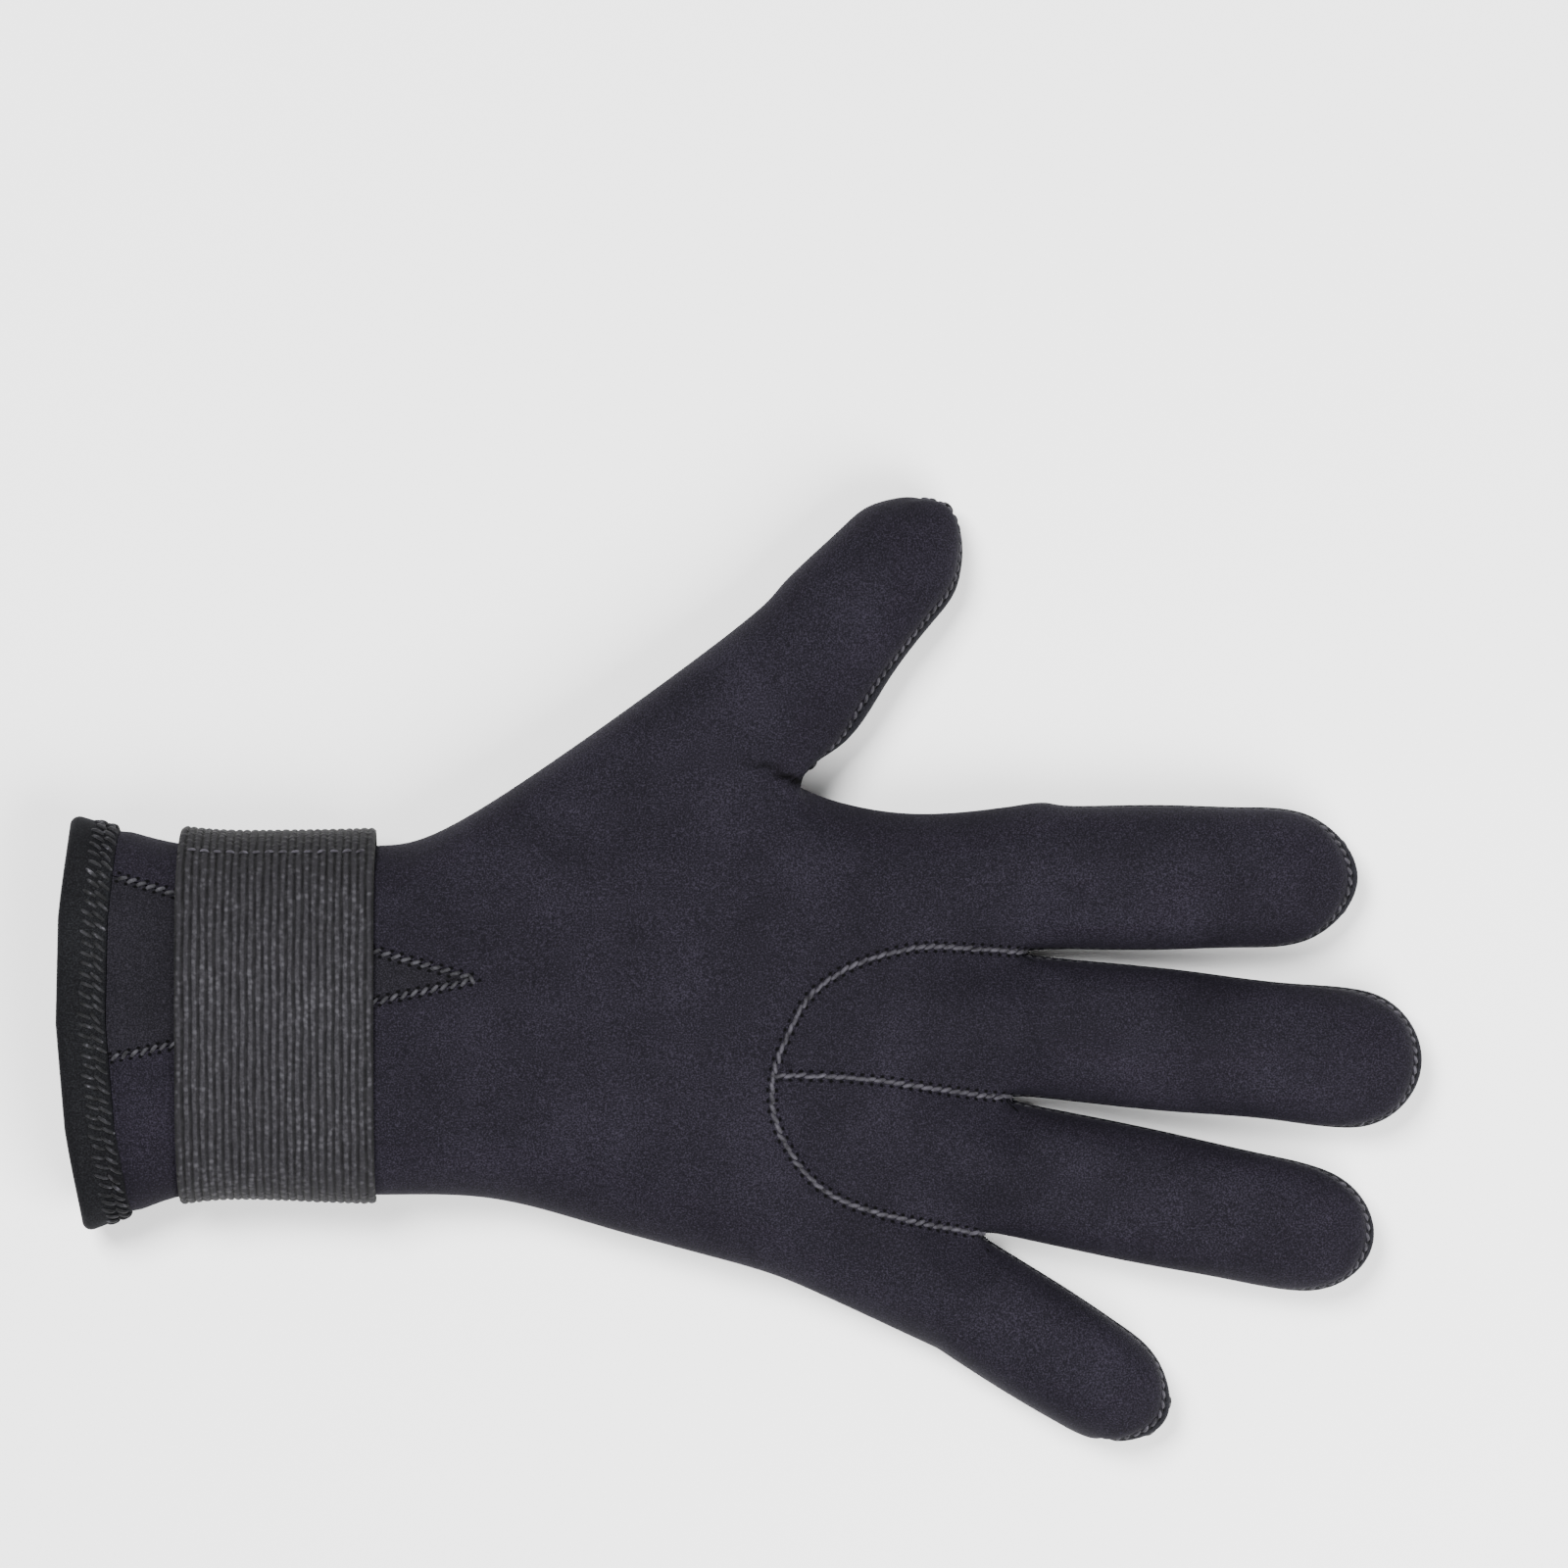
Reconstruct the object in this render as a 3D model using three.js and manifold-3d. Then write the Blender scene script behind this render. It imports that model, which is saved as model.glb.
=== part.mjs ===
// A diving glove for the right hand, lying palm down, in millimetres.
// X runs from the cuff to the fingertips, Y across the hand towards the thumb, Z up from the floor.
// The hand is one smooth hollow form, worked out from a coarse net of quads, and cut into panels
// along the seams. The strap and its fastener follow the same form at a distance.

import * as THREE from "three";
import { mergeVertices } from "three/addons/utils/BufferGeometryUtils.js";
import Module from "manifold-3d";

const wasm = await Module();
wasm.setup();

// Sizes of the hand.
const HAND_LENGTH = 189.5; // cuff edge to the fork between index and middle finger
const HAND_HEIGHT = 27;
const CUFF_WIDTH = 82;
const CUFF_HEIGHT = 24;
const WRIST_WIDTH = 70;
const WRIST_HEIGHT = 22;
const FINGER_HEIGHT = 20;
const THUMB_WIDTH = 31;
const THUMB_LENGTH = 60.4; // fork to tip
const THUMB_HEIGHT = 22;
const THUMB_ANGLE = 48;
const FORK_GAP = 0.9; // between two fingers beside their fork

// The fingers from the index to the little one: width beside the fork, length from the fork
// to the tip, direction in degrees, and the width just before the tip as a share of the width.
const FINGERS = [
  { name: "index", width: 29.4, length: 65.0, angle: 0, tip: 0.84 },
  { name: "middle", width: 28.8, length: 79.4, angle: -5.8, tip: 0.9 },
  { name: "ring", width: 27.3, length: 75.2, angle: -11.6, tip: 0.84 },
  { name: "little", width: 24.4, length: 49.6, angle: -32.2, tip: 0.8 },
];

// Sizes of the sheets, the seams and the strap.
const WALL = 2.5;
const HEM_WALL = 3.6; // the edge is folded over
const HEM_WIDTH = 9.6;
const SEAM_GAP = 0.3;
const INSET_DEPTH = 46; // finger fork to the round end of the inset
const GUSSET_LENGTH = 82; // cuff edge to the point
const GUSSET_WIDTH = 41; // at the cuff edge
const STRAP_WIDTH = 38.5;
const STRAP_START = 23.5; // cuff edge to the strap
const STRAP_THICKNESS = 1.5;
const STRAP_REACH = 14; // how far its free end goes under the wrist
const PATCH_WIDTH = 37;
const HOOK_THICKNESS = 1;
const HOOK_REACH = 12.5;
const LOOP_THICKNESS = 1.2;
const LOOP_REACH = 56;
const LAYER_GAP = 0.3;

// Heights above the skin of the layers under the strap's free end.
const LOOP_BASE = LAYER_GAP;
const HOOK_BASE = LOOP_BASE + LOOP_THICKNESS + LAYER_GAP;
const STRAP_END_BASE = HOOK_BASE + HOOK_THICKNESS + LAYER_GAP;
const STRAP_LIFT = STRAP_END_BASE + STRAP_THICKNESS;

const KNUCKLES = FINGERS.reduce((sum, finger) => sum + finger.width, 0);

const CUFF = { wide: CUFF_WIDTH, high: CUFF_HEIGHT };
const WRIST = { wide: WRIST_WIDTH, high: WRIST_HEIGHT };
const PALM = { wide: KNUCKLES, high: HAND_HEIGHT };

// The hand from the cuff to the knuckles. along and slant: share of HAND_LENGTH on the thumb's side,
// and how much further on the little finger's side. thumb, little: both edges as shares of the part's
// width. top: share of its height. lift: share of STRAP_LIFT below the wrist.
const STATIONS = [
  { part: CUFF, along: -0.07, slant: 0, thumb: 0.505, little: -0.52, top: 1, lift: 0 },
  { part: CUFF, along: 0.03, slant: 0, thumb: 0.485, little: -0.5, top: 1, lift: 0.04 },
  { part: WRIST, along: 0.124, slant: 0, thumb: 0.5, little: -0.487, top: 1, lift: 1 },
  { part: WRIST, along: 0.226, slant: 0, thumb: 0.487, little: -0.473, top: 1, lift: 1.05 },
  { part: WRIST, along: 0.33, slant: 0, thumb: 0.494, little: -0.482, top: 1.02, lift: 1 },
  { part: PALM, along: 0.445, slant: 0, thumb: 0.392, little: -0.315, top: 0.98, lift: 0 },
  { part: PALM, along: 0.6, slant: -0.03, thumb: 0.43, little: -0.37, top: 1, lift: 0 },
  { part: PALM, along: 0.762, slant: -0.06, thumb: 0.427, little: -0.432, top: 1, lift: 0 },
  { part: PALM, along: 0.875, slant: -0.092, thumb: 0.374, little: -0.484, top: 0.93, lift: 0 },
];
// The thumb grows out of the side between the fourth station from the end and the second.
const thumbTo = STATIONS.length - 2;
const thumbMid = thumbTo - 1;
const thumbFrom = thumbTo - 2;

// Nine points across the hand, from the thumb's side to the little finger's: place between the two
// edges, height over the back and over the palm, as shares of the height there.
const ACROSS = [
  { at: 0.07, back: 0.84, sole: 0.07 },
  { at: 0.18, back: 0.96, sole: 0 },
  { at: 0.285, back: 1, sole: 0 },
  { at: 0.39, back: 1.01, sole: 0 },
  { at: 0.5, back: 1.01, sole: 0 },
  { at: 0.61, back: 1, sole: 0 },
  { at: 0.715, back: 0.98, sole: 0 },
  { at: 0.82, back: 0.93, sole: 0 },
  { at: 0.93, back: 0.8, sole: 0.07 },
];
const SIDE_HEIGHT = 0.46; // of the widest point of a section

const INDEX_EDGE = 0.391; // place of the index finger's outer edge, as a share of KNUCKLES

// A finger's section, clockwise as seen from its root: shares of the half width and of the height.
const SECTION = [
  { across: 0.72, up: 0.87 },
  { across: 0, up: 1 },
  { across: -0.72, up: 0.87 },
  { across: -1, up: SIDE_HEIGHT },
  { across: -0.76, up: 0.07 },
  { across: 0, up: 0 },
  { across: 0.76, up: 0.07 },
  { across: 1, up: SIDE_HEIGHT },
];
// Rings along a finger: run from the first ring to the last, width and height as shares.
const FINGER_RINGS = [
  { run: 0, width: 1, height: 1 },
  { run: 0.35, width: 1.01, height: 0.99 },
  { run: 0.7, width: 0.98, height: 0.97 },
  { run: 1, width: 1, height: 0.86 },
];
const FIRST_RING = 0.26; // from the fork, as a share of the width
const LAST_RING = 0.3; // from the tip, as a share of the width
const FORK_TOP = 0.72; // height of the skin at a fork, as a share of the finger's
const FORK_BOTTOM = 0.12;
const FORK_BACK = 0.1; // how far the fork's upper and lower ends lie behind it, as a share of the width
const EDGE_INSET = 0.14; // how far they lie inside the hand's outer edges instead
const ROOT_TOP = 1.05; // height of the skin over a finger's root, as a share of the finger's
const TIP_HEIGHT = 0.4; // of the foremost point

// The same for the thumb: along as a share of its length from the fork.
const THUMB_RINGS = [
  { along: 0.18, width: 1.01, height: 1 },
  { along: 0.45, width: 0.905, height: 0.93 },
  { along: 0.7, width: 0.83, height: 0.87 },
  { along: 0.86, width: 0.68, height: 0.74 },
];
const THUMB_MIDDLE = 0.46; // from the fork to the thumb's middle line, as a share of its width
const THUMB_TIP_HEIGHT = 0.36;

// The inset's outline from fork to fork: share of INSET_DEPTH, and of the way between the forks.
const INSET = [
  { depth: 0.31, across: -0.02 },
  { depth: 0.49, across: -0.02 },
  { depth: 0.64, across: 0.01 },
  { depth: 0.78, across: 0.06 },
  { depth: 0.9, across: 0.145 },
  { depth: 0.96, across: 0.25 },
  { depth: 1, across: 0.385 },
  { depth: 1, across: 0.49 },
  { depth: 0.96, across: 0.6 },
  { depth: 0.876, across: 0.705 },
  { depth: 0.77, across: 0.8 },
  { depth: 0.63, across: 0.87 },
  { depth: 0.46, across: 0.915 },
  { depth: 0.19, across: 0.965 },
];
const CENTRE_SEAM = [
  { depth: 1.1, across: 0.425 },
  { depth: 0.8, across: 0.43 },
  { depth: 0.5, across: 0.45 },
  { depth: 0.2, across: 0.49 },
];

// Height of the seam between back and palm, as a share of the finger's height.
const SEAM_HEIGHT = [
  { along: 0.3, height: 0.6 },
  { along: 0.76, height: 0.6 },
  { along: 0.95, height: 0.48 },
  { along: 1.6, height: 0.42 },
];
const THUMB_SEAM_HEIGHT = [
  { along: -1.6, height: 0.55 },
  { along: 0, height: 0.55 },
  { along: 0.3, height: 0.72 },
  { along: 0.7, height: 0.66 },
  { along: 1, height: 0.4 },
  { along: 1.3, height: 0.4 },
];
const PALM_START = 0.406; // the palm's first seam, as a share of HAND_LENGTH
const PALM_EDGE_INSET = 5; // how far the palm's seam lies inside the little finger's edge
const THUMB_EDGE_INSET = 7; // and inside the thumb's outer edge
// The corner where the palm's first seam turns towards the thumb, as shares of KNUCKLES.
const PALM_CORNER = [
  { along: 0, across: 0 },
  { along: 0, across: 0.13 },
  { along: 0.05, across: 0.24 },
];
// The seam along the thumb's outer edge: share of its length, and how far further out than
// THUMB_EDGE_INSET, as a share of its width.
const THUMB_SEAM = [
  { along: -0.3, out: 0.12 },
  { along: 0.1, out: 0.05 },
  { along: 0.45, out: 0 },
  { along: 0.85, out: -0.08 },
];

// The cuff's edge bows back a little, most on the little finger's side: shares of the cuff's width.
const CUFF_EDGE = [
  { across: 0.9, back: 0.073 },
  { across: 0.5, back: 0.029 },
  { across: 0.25, back: 0.005 },
  { across: 0, back: 0 },
  { across: -0.25, back: 0.02 },
  { across: -0.5, back: 0.058 },
  { across: -0.9, back: 0.134 },
];
const GUSSET_MIDDLE = 0.14; // its place across at the cuff, as a share of the cuff's width
const GUSSET_POINT = 0.105; // and at its point

// Where the strap starts to lift off the skin on the thumb's side, and over what height it does so,
// as shares of WRIST_HEIGHT.
const STRAP_TURN = 0.9;
const STRAP_TURN_HEIGHT = 0.75;
const LOOP_EDGE = 2; // how far the layers under the strap lie inside the wrist's edge
const HOOK_EDGE = 3;

// Directions and points in plan.
const radians = THREE.MathUtils.degToRad;
const heading = (degrees) => new THREE.Vector2(Math.cos(radians(degrees)), Math.sin(radians(degrees)));
const leftOf = (direction) => new THREE.Vector2(-direction.y, direction.x);
const flat = (x, y) => new THREE.Vector2(x, y);
const mix = (a, b, share) => a.clone().lerp(b, share);

// The forks, from the index finger's outer edge to the little finger's, each a finger's width on.
const forks = [flat(HAND_LENGTH, INDEX_EDGE * KNUCKLES)];
for (const finger of FINGERS) {
  const previous = forks[forks.length - 1];
  forks.push(previous.clone().addScaledVector(leftOf(heading(finger.angle)), -finger.width));
}
const forkStation = STATIONS[thumbTo];
const thumbFork = flat(forkStation.along * HAND_LENGTH, forkStation.thumb * forkStation.part.wide);

// A net of quads: points that the skin passes through, and faces that wind outwards.
const net = { points: [], quads: [] };

function point(place, height) {
  net.points.push(new THREE.Vector3(place.x, place.y, height));
  return net.points.length - 1;
}

function tube(from, to, count = from.length) {
  for (let i = 0; i < count; i += 1) {
    const next = (i + 1) % from.length;
    net.quads.push([from[i], from[next], to[next], to[i]]);
  }
}

// Closes an eight-sided ring with four quads round a tip.
function dome(section, tip) {
  for (let i = 0; i < section.length; i += 2) {
    const before = section[(i + section.length - 1) % section.length];
    net.quads.push([section[i], section[i + 1], tip, before]);
  }
}

// A ring of twenty points round the hand: nine on the back, one on the edge, nine below, one on the edge.
function handRing(station, index) {
  const along = station.along * HAND_LENGTH;
  const { wide, high } = station.part;
  const thumbEdge = flat(along, station.thumb * wide);
  const littleEdge = flat(along + station.slant * HAND_LENGTH, station.little * wide);
  const low = station.lift * STRAP_LIFT;
  const height = station.top * high;
  const side = low + SIDE_HEIGHT * height;
  const above = ACROSS.map(({ at, back }) => point(mix(thumbEdge, littleEdge, at), low + back * height));
  const onLittleSide = point(littleEdge, side);
  const under = ACROSS.map(({ at, sole }) => point(mix(thumbEdge, littleEdge, at), low + sole * height));
  const onThumbSide = index === thumbMid ? [] : [point(thumbEdge, side)];
  return [...above, onLittleSide, ...under.reverse(), ...onThumbSide];
}

function fingerRing(centre, direction, halfWidth, height) {
  const across = leftOf(direction);
  return SECTION.map(({ across: share, up }) =>
    point(centre.clone().addScaledVector(across, share * halfWidth), up * height));
}

// Places in a ring: the points on the little finger's and the thumb's edge, and the one before the latter.
const littleSide = ACROSS.length;
const lastBelow = 2 * ACROSS.length;
const thumbSide = lastBelow + 1;
const rings = STATIONS.map(handRing);
for (let i = 0; i + 1 < rings.length; i += 1) {
  const open = i >= thumbFrom && i < thumbTo;
  tube(rings[i], rings[i + 1], open ? lastBelow : rings[i].length);
}

// The fork line: a ring of twenty again, with a point on each fork for the neighbours to share.
const forkPoints = forks.map((fork, i) => {
  const finger = FINGERS[Math.min(i, FINGERS.length - 1)];
  const outer = i === 0 || i === FINGERS.length;
  const inward = outer ? Math.sign(i - 1) * EDGE_INSET * finger.width : 0;
  const place = fork.clone().addScaledVector(leftOf(heading(finger.angle)), inward);
  if (!outer) place.x -= FORK_BACK * finger.width;
  return {
    top: point(place, (outer ? SECTION[0].up : FORK_TOP) * FINGER_HEIGHT),
    side: point(fork, SIDE_HEIGHT * FINGER_HEIGHT),
    bottom: point(place, (outer ? SECTION[4].up : FORK_BOTTOM) * FINGER_HEIGHT),
  };
});
const roots = FINGERS.map((finger, i) => {
  const centre = mix(forks[i], forks[i + 1], 0.5);
  return { centre, top: point(centre, ROOT_TOP * FINGER_HEIGHT), bottom: point(centre, 0) };
});
const forkTops = [];
const forkBottoms = [];
forkPoints.forEach((fork, i) => {
  forkTops.push(fork.top);
  forkBottoms.push(fork.bottom);
  if (i < roots.length) {
    forkTops.push(roots[i].top);
    forkBottoms.push(roots[i].bottom);
  }
});
const forkRing = [...forkTops, forkPoints[4].side, ...forkBottoms.reverse(), forkPoints[0].side];
tube(rings[rings.length - 1], forkRing);

FINGERS.forEach((finger, i) => {
  const direction = heading(finger.angle);
  const [near, far] = [forkPoints[i], forkPoints[i + 1]];
  const root = roots[i];
  const first = FIRST_RING * finger.width;
  const last = finger.length - LAST_RING * finger.width;
  let section = [near.top, root.top, far.top, far.side, far.bottom, root.bottom, near.bottom, near.side];
  FINGER_RINGS.forEach(({ run, width, height }, k) => {
    const isLast = k === FINGER_RINGS.length - 1;
    const centre = root.centre.clone().addScaledVector(direction, first + run * (last - first));
    const halfWidth = (width * (isLast ? finger.tip : 1) * finger.width - FORK_GAP) / 2;
    const next = fingerRing(centre, direction, halfWidth, height * FINGER_HEIGHT);
    tube(section, next);
    section = next;
  });
  const tip = root.centre.clone().addScaledVector(direction, finger.length);
  dome(section, point(tip, TIP_HEIGHT * FINGER_HEIGHT));
});

// The thumb grows from the eight points round the opening left in the hand's side.
const thumbDirection = heading(THUMB_ANGLE);
const thumbRoot = thumbFork.clone().addScaledVector(leftOf(thumbDirection), THUMB_MIDDLE * THUMB_WIDTH);
let thumbRing = [
  rings[thumbFrom][0], rings[thumbMid][0], rings[thumbTo][0], rings[thumbTo][thumbSide],
  rings[thumbTo][lastBelow], rings[thumbMid][lastBelow], rings[thumbFrom][lastBelow],
  rings[thumbFrom][thumbSide],
];
for (const { along, width, height } of THUMB_RINGS) {
  const centre = thumbRoot.clone().addScaledVector(thumbDirection, along * THUMB_LENGTH);
  const next = fingerRing(centre, thumbDirection, (width * THUMB_WIDTH) / 2, height * THUMB_HEIGHT);
  tube(thumbRing, next);
  thumbRing = next;
}
const thumbTip = thumbRoot.clone().addScaledVector(thumbDirection, THUMB_LENGTH);
dome(thumbRing, point(thumbTip, THUMB_TIP_HEIGHT * THUMB_HEIGHT));

// The far end inside the cuff is closed here, and cut off with the cuff's edge below.
const [cuffRing] = rings;
const topRow = cuffRing.slice(0, littleSide);
const bottomRow = cuffRing.slice(littleSide + 1, thumbSide).reverse();
const middles = topRow.slice(1, -1).map((vertex, i) => {
  const above = net.points[vertex];
  return point(above, (above.z + net.points[bottomRow[i + 1]].z) / 2);
});
const middleRow = [cuffRing[thumbSide], ...middles, cuffRing[littleSide]];
for (let i = 0; i + 1 < topRow.length; i += 1) {
  net.quads.push([topRow[i + 1], topRow[i], middleRow[i], middleRow[i + 1]]);
  net.quads.push([middleRow[i + 1], middleRow[i], bottomRow[i], bottomRow[i + 1]]);
}

// Where each vertex of a net ends up on the smooth surface of endless subdivision.
function onSurface({ points, quads }) {
  const neighbours = points.map(() => new Set());
  const corners = points.map(() => []);
  for (const quad of quads) {
    quad.forEach((vertex, i) => {
      neighbours[vertex].add(quad[(i + 1) % 4]).add(quad[(i + 3) % 4]);
      corners[vertex].push(quad[(i + 2) % 4]);
    });
  }
  return points.map((place, vertex) => {
    const count = neighbours[vertex].size;
    const sum = place.clone().multiplyScalar(count * count);
    neighbours[vertex].forEach((other) => sum.addScaledVector(points[other], 4));
    corners[vertex].forEach((other) => sum.add(points[other]));
    return sum.divideScalar(count * (count + 5));
  });
}

// The net whose smooth surface passes through the given points, by repeated correction.
function through({ points, quads }) {
  let fitted = points.map((place) => place.clone());
  for (let round = 0; round < 40; round += 1) {
    const reached = onSurface({ points: fitted, quads });
    fitted = fitted.map((place, i) => place.clone().add(points[i]).sub(reached[i]));
  }
  return { points: fitted, quads };
}

// One round of Catmull and Clark's subdivision.
function subdivide({ points, quads }) {
  const faceCentres = quads.map((quad) => {
    const sum = new THREE.Vector3();
    quad.forEach((vertex) => sum.add(points[vertex]));
    return sum.divideScalar(4);
  });
  const edges = new Map();
  quads.forEach((quad, face) => {
    quad.forEach((vertex, i) => {
      const other = quad[(i + 1) % 4];
      const key = vertex < other ? `${vertex} ${other}` : `${other} ${vertex}`;
      if (!edges.has(key)) edges.set(key, { ends: [vertex, other], faces: [] });
      edges.get(key).faces.push(face);
    });
  });
  const finer = points.map((place) => place.clone());
  const faceStart = finer.length;
  finer.push(...faceCentres);
  const sums = points.map(() => ({ faces: new THREE.Vector3(), middles: new THREE.Vector3(), count: 0 }));
  for (const edge of edges.values()) {
    const [a, b] = edge.ends;
    const middle = points[a].clone().add(points[b]).multiplyScalar(0.5);
    const faces = faceCentres[edge.faces[0]].clone().add(faceCentres[edge.faces[1]]).multiplyScalar(0.5);
    edge.point = finer.length;
    finer.push(middle.clone().add(faces).multiplyScalar(0.5));
    for (const end of edge.ends) {
      sums[end].middles.add(middle);
      sums[end].count += 1;
    }
  }
  quads.forEach((quad, face) => quad.forEach((vertex) => sums[vertex].faces.add(faceCentres[face])));
  points.forEach((place, i) => {
    const { faces, middles: halves, count } = sums[i];
    finer[i].copy(place).multiplyScalar((count - 3) / count);
    finer[i].addScaledVector(faces, 1 / (count * count)).addScaledVector(halves, 2 / (count * count));
  });
  const finerQuads = [];
  const edgePoint = (a, b) => edges.get(a < b ? `${a} ${b}` : `${b} ${a}`).point;
  quads.forEach((quad, face) => {
    quad.forEach((vertex, i) => {
      const next = quad[(i + 1) % 4];
      const before = quad[(i + 3) % 4];
      finerQuads.push([vertex, edgePoint(vertex, next), faceStart + face, edgePoint(before, vertex)]);
    });
  });
  return { points: finer, quads: finerQuads };
}

// The hand's skin, flattened where it rests on the floor, with a normal at each point.
const smooth = subdivide(through(net));
const skin = onSurface(smooth);
for (const place of skin) place.z = Math.max(place.z, 0);
const normals = skin.map(() => new THREE.Vector3());
for (const [a, b, c, d] of smooth.quads) {
  const first = skin[c].clone().sub(skin[a]);
  const second = skin[d].clone().sub(skin[b]);
  const normal = first.cross(second);
  for (const vertex of [a, b, c, d]) normals[vertex].add(normal);
}
for (const normal of normals) normal.normalize();

function solidOf(positions, triangles) {
  const mesh = new wasm.Mesh({
    numProp: 3,
    vertProperties: new Float32Array(positions),
    triVerts: new Uint32Array(triangles),
  });
  return new wasm.Manifold(mesh);
}

function solidOfGeometry(geometry) {
  geometry.deleteAttribute("normal");
  geometry.deleteAttribute("uv");
  const merged = mergeVertices(geometry);
  return solidOf(merged.attributes.position.array, merged.index.array);
}

// The hand grown by a distance, which may differ from place to place. A negative one shrinks it.
function grown(distance) {
  const far = typeof distance === "number" ? () => distance : distance;
  const positions = skin.flatMap((place, i) => {
    const moved = place.clone().addScaledVector(normals[i], far(place));
    return moved.toArray();
  });
  const triangles = smooth.quads.flatMap(([a, b, c, d]) => [a, b, c, a, c, d]);
  return solidOf(positions, triangles);
}

// Limits well outside the glove.
const FAR = 400;
const DEEP = -40;
const HIGH = 80;

// A solid between two heights over a closed outline in plan.
function prism(outline, low = DEEP, high = HIGH) {
  const shape = new THREE.Shape(outline);
  const geometry = new THREE.ExtrudeGeometry(shape, { depth: high - low, bevelEnabled: false });
  geometry.translate(0, 0, low);
  return solidOfGeometry(geometry);
}

// All that lies below a profile of heights, which runs from a start in one direction.
function below(start, direction, profile, clearance) {
  const first = profile[0].x;
  const last = profile[profile.length - 1].x;
  const shape = new THREE.Shape([
    flat(first, DEEP),
    flat(last, DEEP),
    ...[...profile].reverse().map(({ x, y }) => flat(x, y + clearance)),
  ]);
  const geometry = new THREE.ExtrudeGeometry(shape, { depth: 2 * FAR, bevelEnabled: false });
  geometry.translate(0, 0, -FAR);
  geometry.rotateX(Math.PI / 2);
  geometry.rotateZ(Math.atan2(direction.y, direction.x));
  geometry.translate(start.x, start.y, 0);
  return solidOfGeometry(geometry);
}

// A line in plan moved sideways, to the left of its run if the distance is positive.
function beside(line, distance) {
  return line.map((place, i) => {
    const before = line[Math.max(i - 1, 0)];
    const after = line[Math.min(i + 1, line.length - 1)];
    const across = leftOf(after.clone().sub(before).normalize());
    return place.clone().addScaledVector(across, distance);
  });
}

const curve = (places, count) => new THREE.SplineCurve(places).getPoints(count);

const wristEdge = WRIST_WIDTH / 2;

// The seams in plan.
const insetPlace = ({ depth, across }) => {
  const place = mix(forks[1], forks[3], across);
  place.x -= depth * INSET_DEPTH;
  return place;
};
const runOut = (fork, finger, next) => {
  const direction = heading((finger.angle + next.angle) / 2);
  return [finger.width, FAR / 2].map((distance) => fork.clone().addScaledVector(direction, distance));
};
const [index, middle, ring, little] = FINGERS;
const insetLine = [
  ...runOut(forks[1], index, middle).reverse(),
  ...curve([forks[1], ...INSET.map(insetPlace), forks[3]], 40),
  ...runOut(forks[3], ring, little),
];
const centreLine = [
  ...curve([...CENTRE_SEAM.map(insetPlace), forks[2]], 10),
  ...runOut(forks[2], middle, ring),
];
const insetRegion = (clearance) => prism(beside(insetLine, -clearance));
const middleSide = (clearance) => prism([
  ...beside(centreLine, -clearance),
  flat(FAR, FAR),
  flat(centreLine[0].x, FAR),
]);

const cuffEdge = CUFF_EDGE.map(({ across, back }) => flat(back * CUFF_WIDTH, across * CUFF_WIDTH));
const beforeCuff = (distance) => prism([
  ...cuffEdge.map(({ x, y }) => flat(x + distance, y)),
  flat(-FAR, -FAR),
  flat(-FAR, FAR),
]);

const gussetRegion = (clearance) => {
  const side = GUSSET_WIDTH / 2;
  const further = (clearance * Math.hypot(side, GUSSET_LENGTH)) / side;
  const reach = side * (1 + further / GUSSET_LENGTH);
  const across = GUSSET_MIDDLE * CUFF_WIDTH;
  const tip = flat(GUSSET_LENGTH + further, GUSSET_POINT * CUFF_WIDTH);
  return prism([flat(0, across + reach), flat(0, across - reach), tip], SIDE_HEIGHT * CUFF_HEIGHT);
};

// The palm's outline in plan, counter-clockwise: its start, the little finger's edge, all round the
// fingers, the index finger's side, and the thumb's own outline.
const palmRegion = (clearance) => {
  const heights = (rows, length) => rows.map((row) => flat(row.along * length, row.height * FINGER_HEIGHT));
  const start = PALM_START * HAND_LENGTH - clearance;
  const inside = PALM_EDGE_INSET - clearance;
  const edge = STATIONS.slice(thumbFrom).map((station) =>
    flat((station.along + station.slant) * HAND_LENGTH, station.little * station.part.wide + inside));
  const littleEdge = forks[4].clone().addScaledVector(leftOf(heading(little.angle)), inside);
  const littleTip = littleEdge.clone().addScaledVector(heading(little.angle), 0.8 * little.length);
  const fingers = prism([
    flat(start, 0),
    flat(start, inside - wristEdge),
    ...edge,
    littleTip,
    littleTip.clone().addScaledVector(heading(little.angle - 50), FAR / 4),
    flat(FAR, -FAR / 4),
    flat(FAR, thumbFork.y),
    thumbFork,
    thumbFork.clone().addScaledVector(thumbDirection, -THUMB_WIDTH / 3),
  ]).intersect(below(flat(0, 0), heading(0), heights(SEAM_HEIGHT, HAND_LENGTH), clearance));
  const onThumb = (along, side) => thumbRoot.clone()
    .addScaledVector(thumbDirection, along * THUMB_LENGTH)
    .addScaledVector(leftOf(thumbDirection), side);
  const outer = THUMB_WIDTH / 2 - THUMB_EDGE_INSET + clearance;
  const outerSeam = curve([
    ...PALM_CORNER.map(({ along, across }) => flat(start + along * KNUCKLES, across * KNUCKLES)),
    ...THUMB_SEAM.map(({ along, out }) => onThumb(along, outer + out * THUMB_WIDTH)),
  ], 20);
  const thumb = prism([
    ...outerSeam,
    onThumb(1.4, 0),
    onThumb(1.4, -THUMB_WIDTH),
    onThumb(0.2, -THUMB_WIDTH),
    thumbFork,
    flat(thumbFork.x, 0),
  ]).intersect(below(thumbFork, thumbDirection, heights(THUMB_SEAM_HEIGHT, THUMB_LENGTH), clearance));
  return fingers.add(thumb);
};

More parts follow.
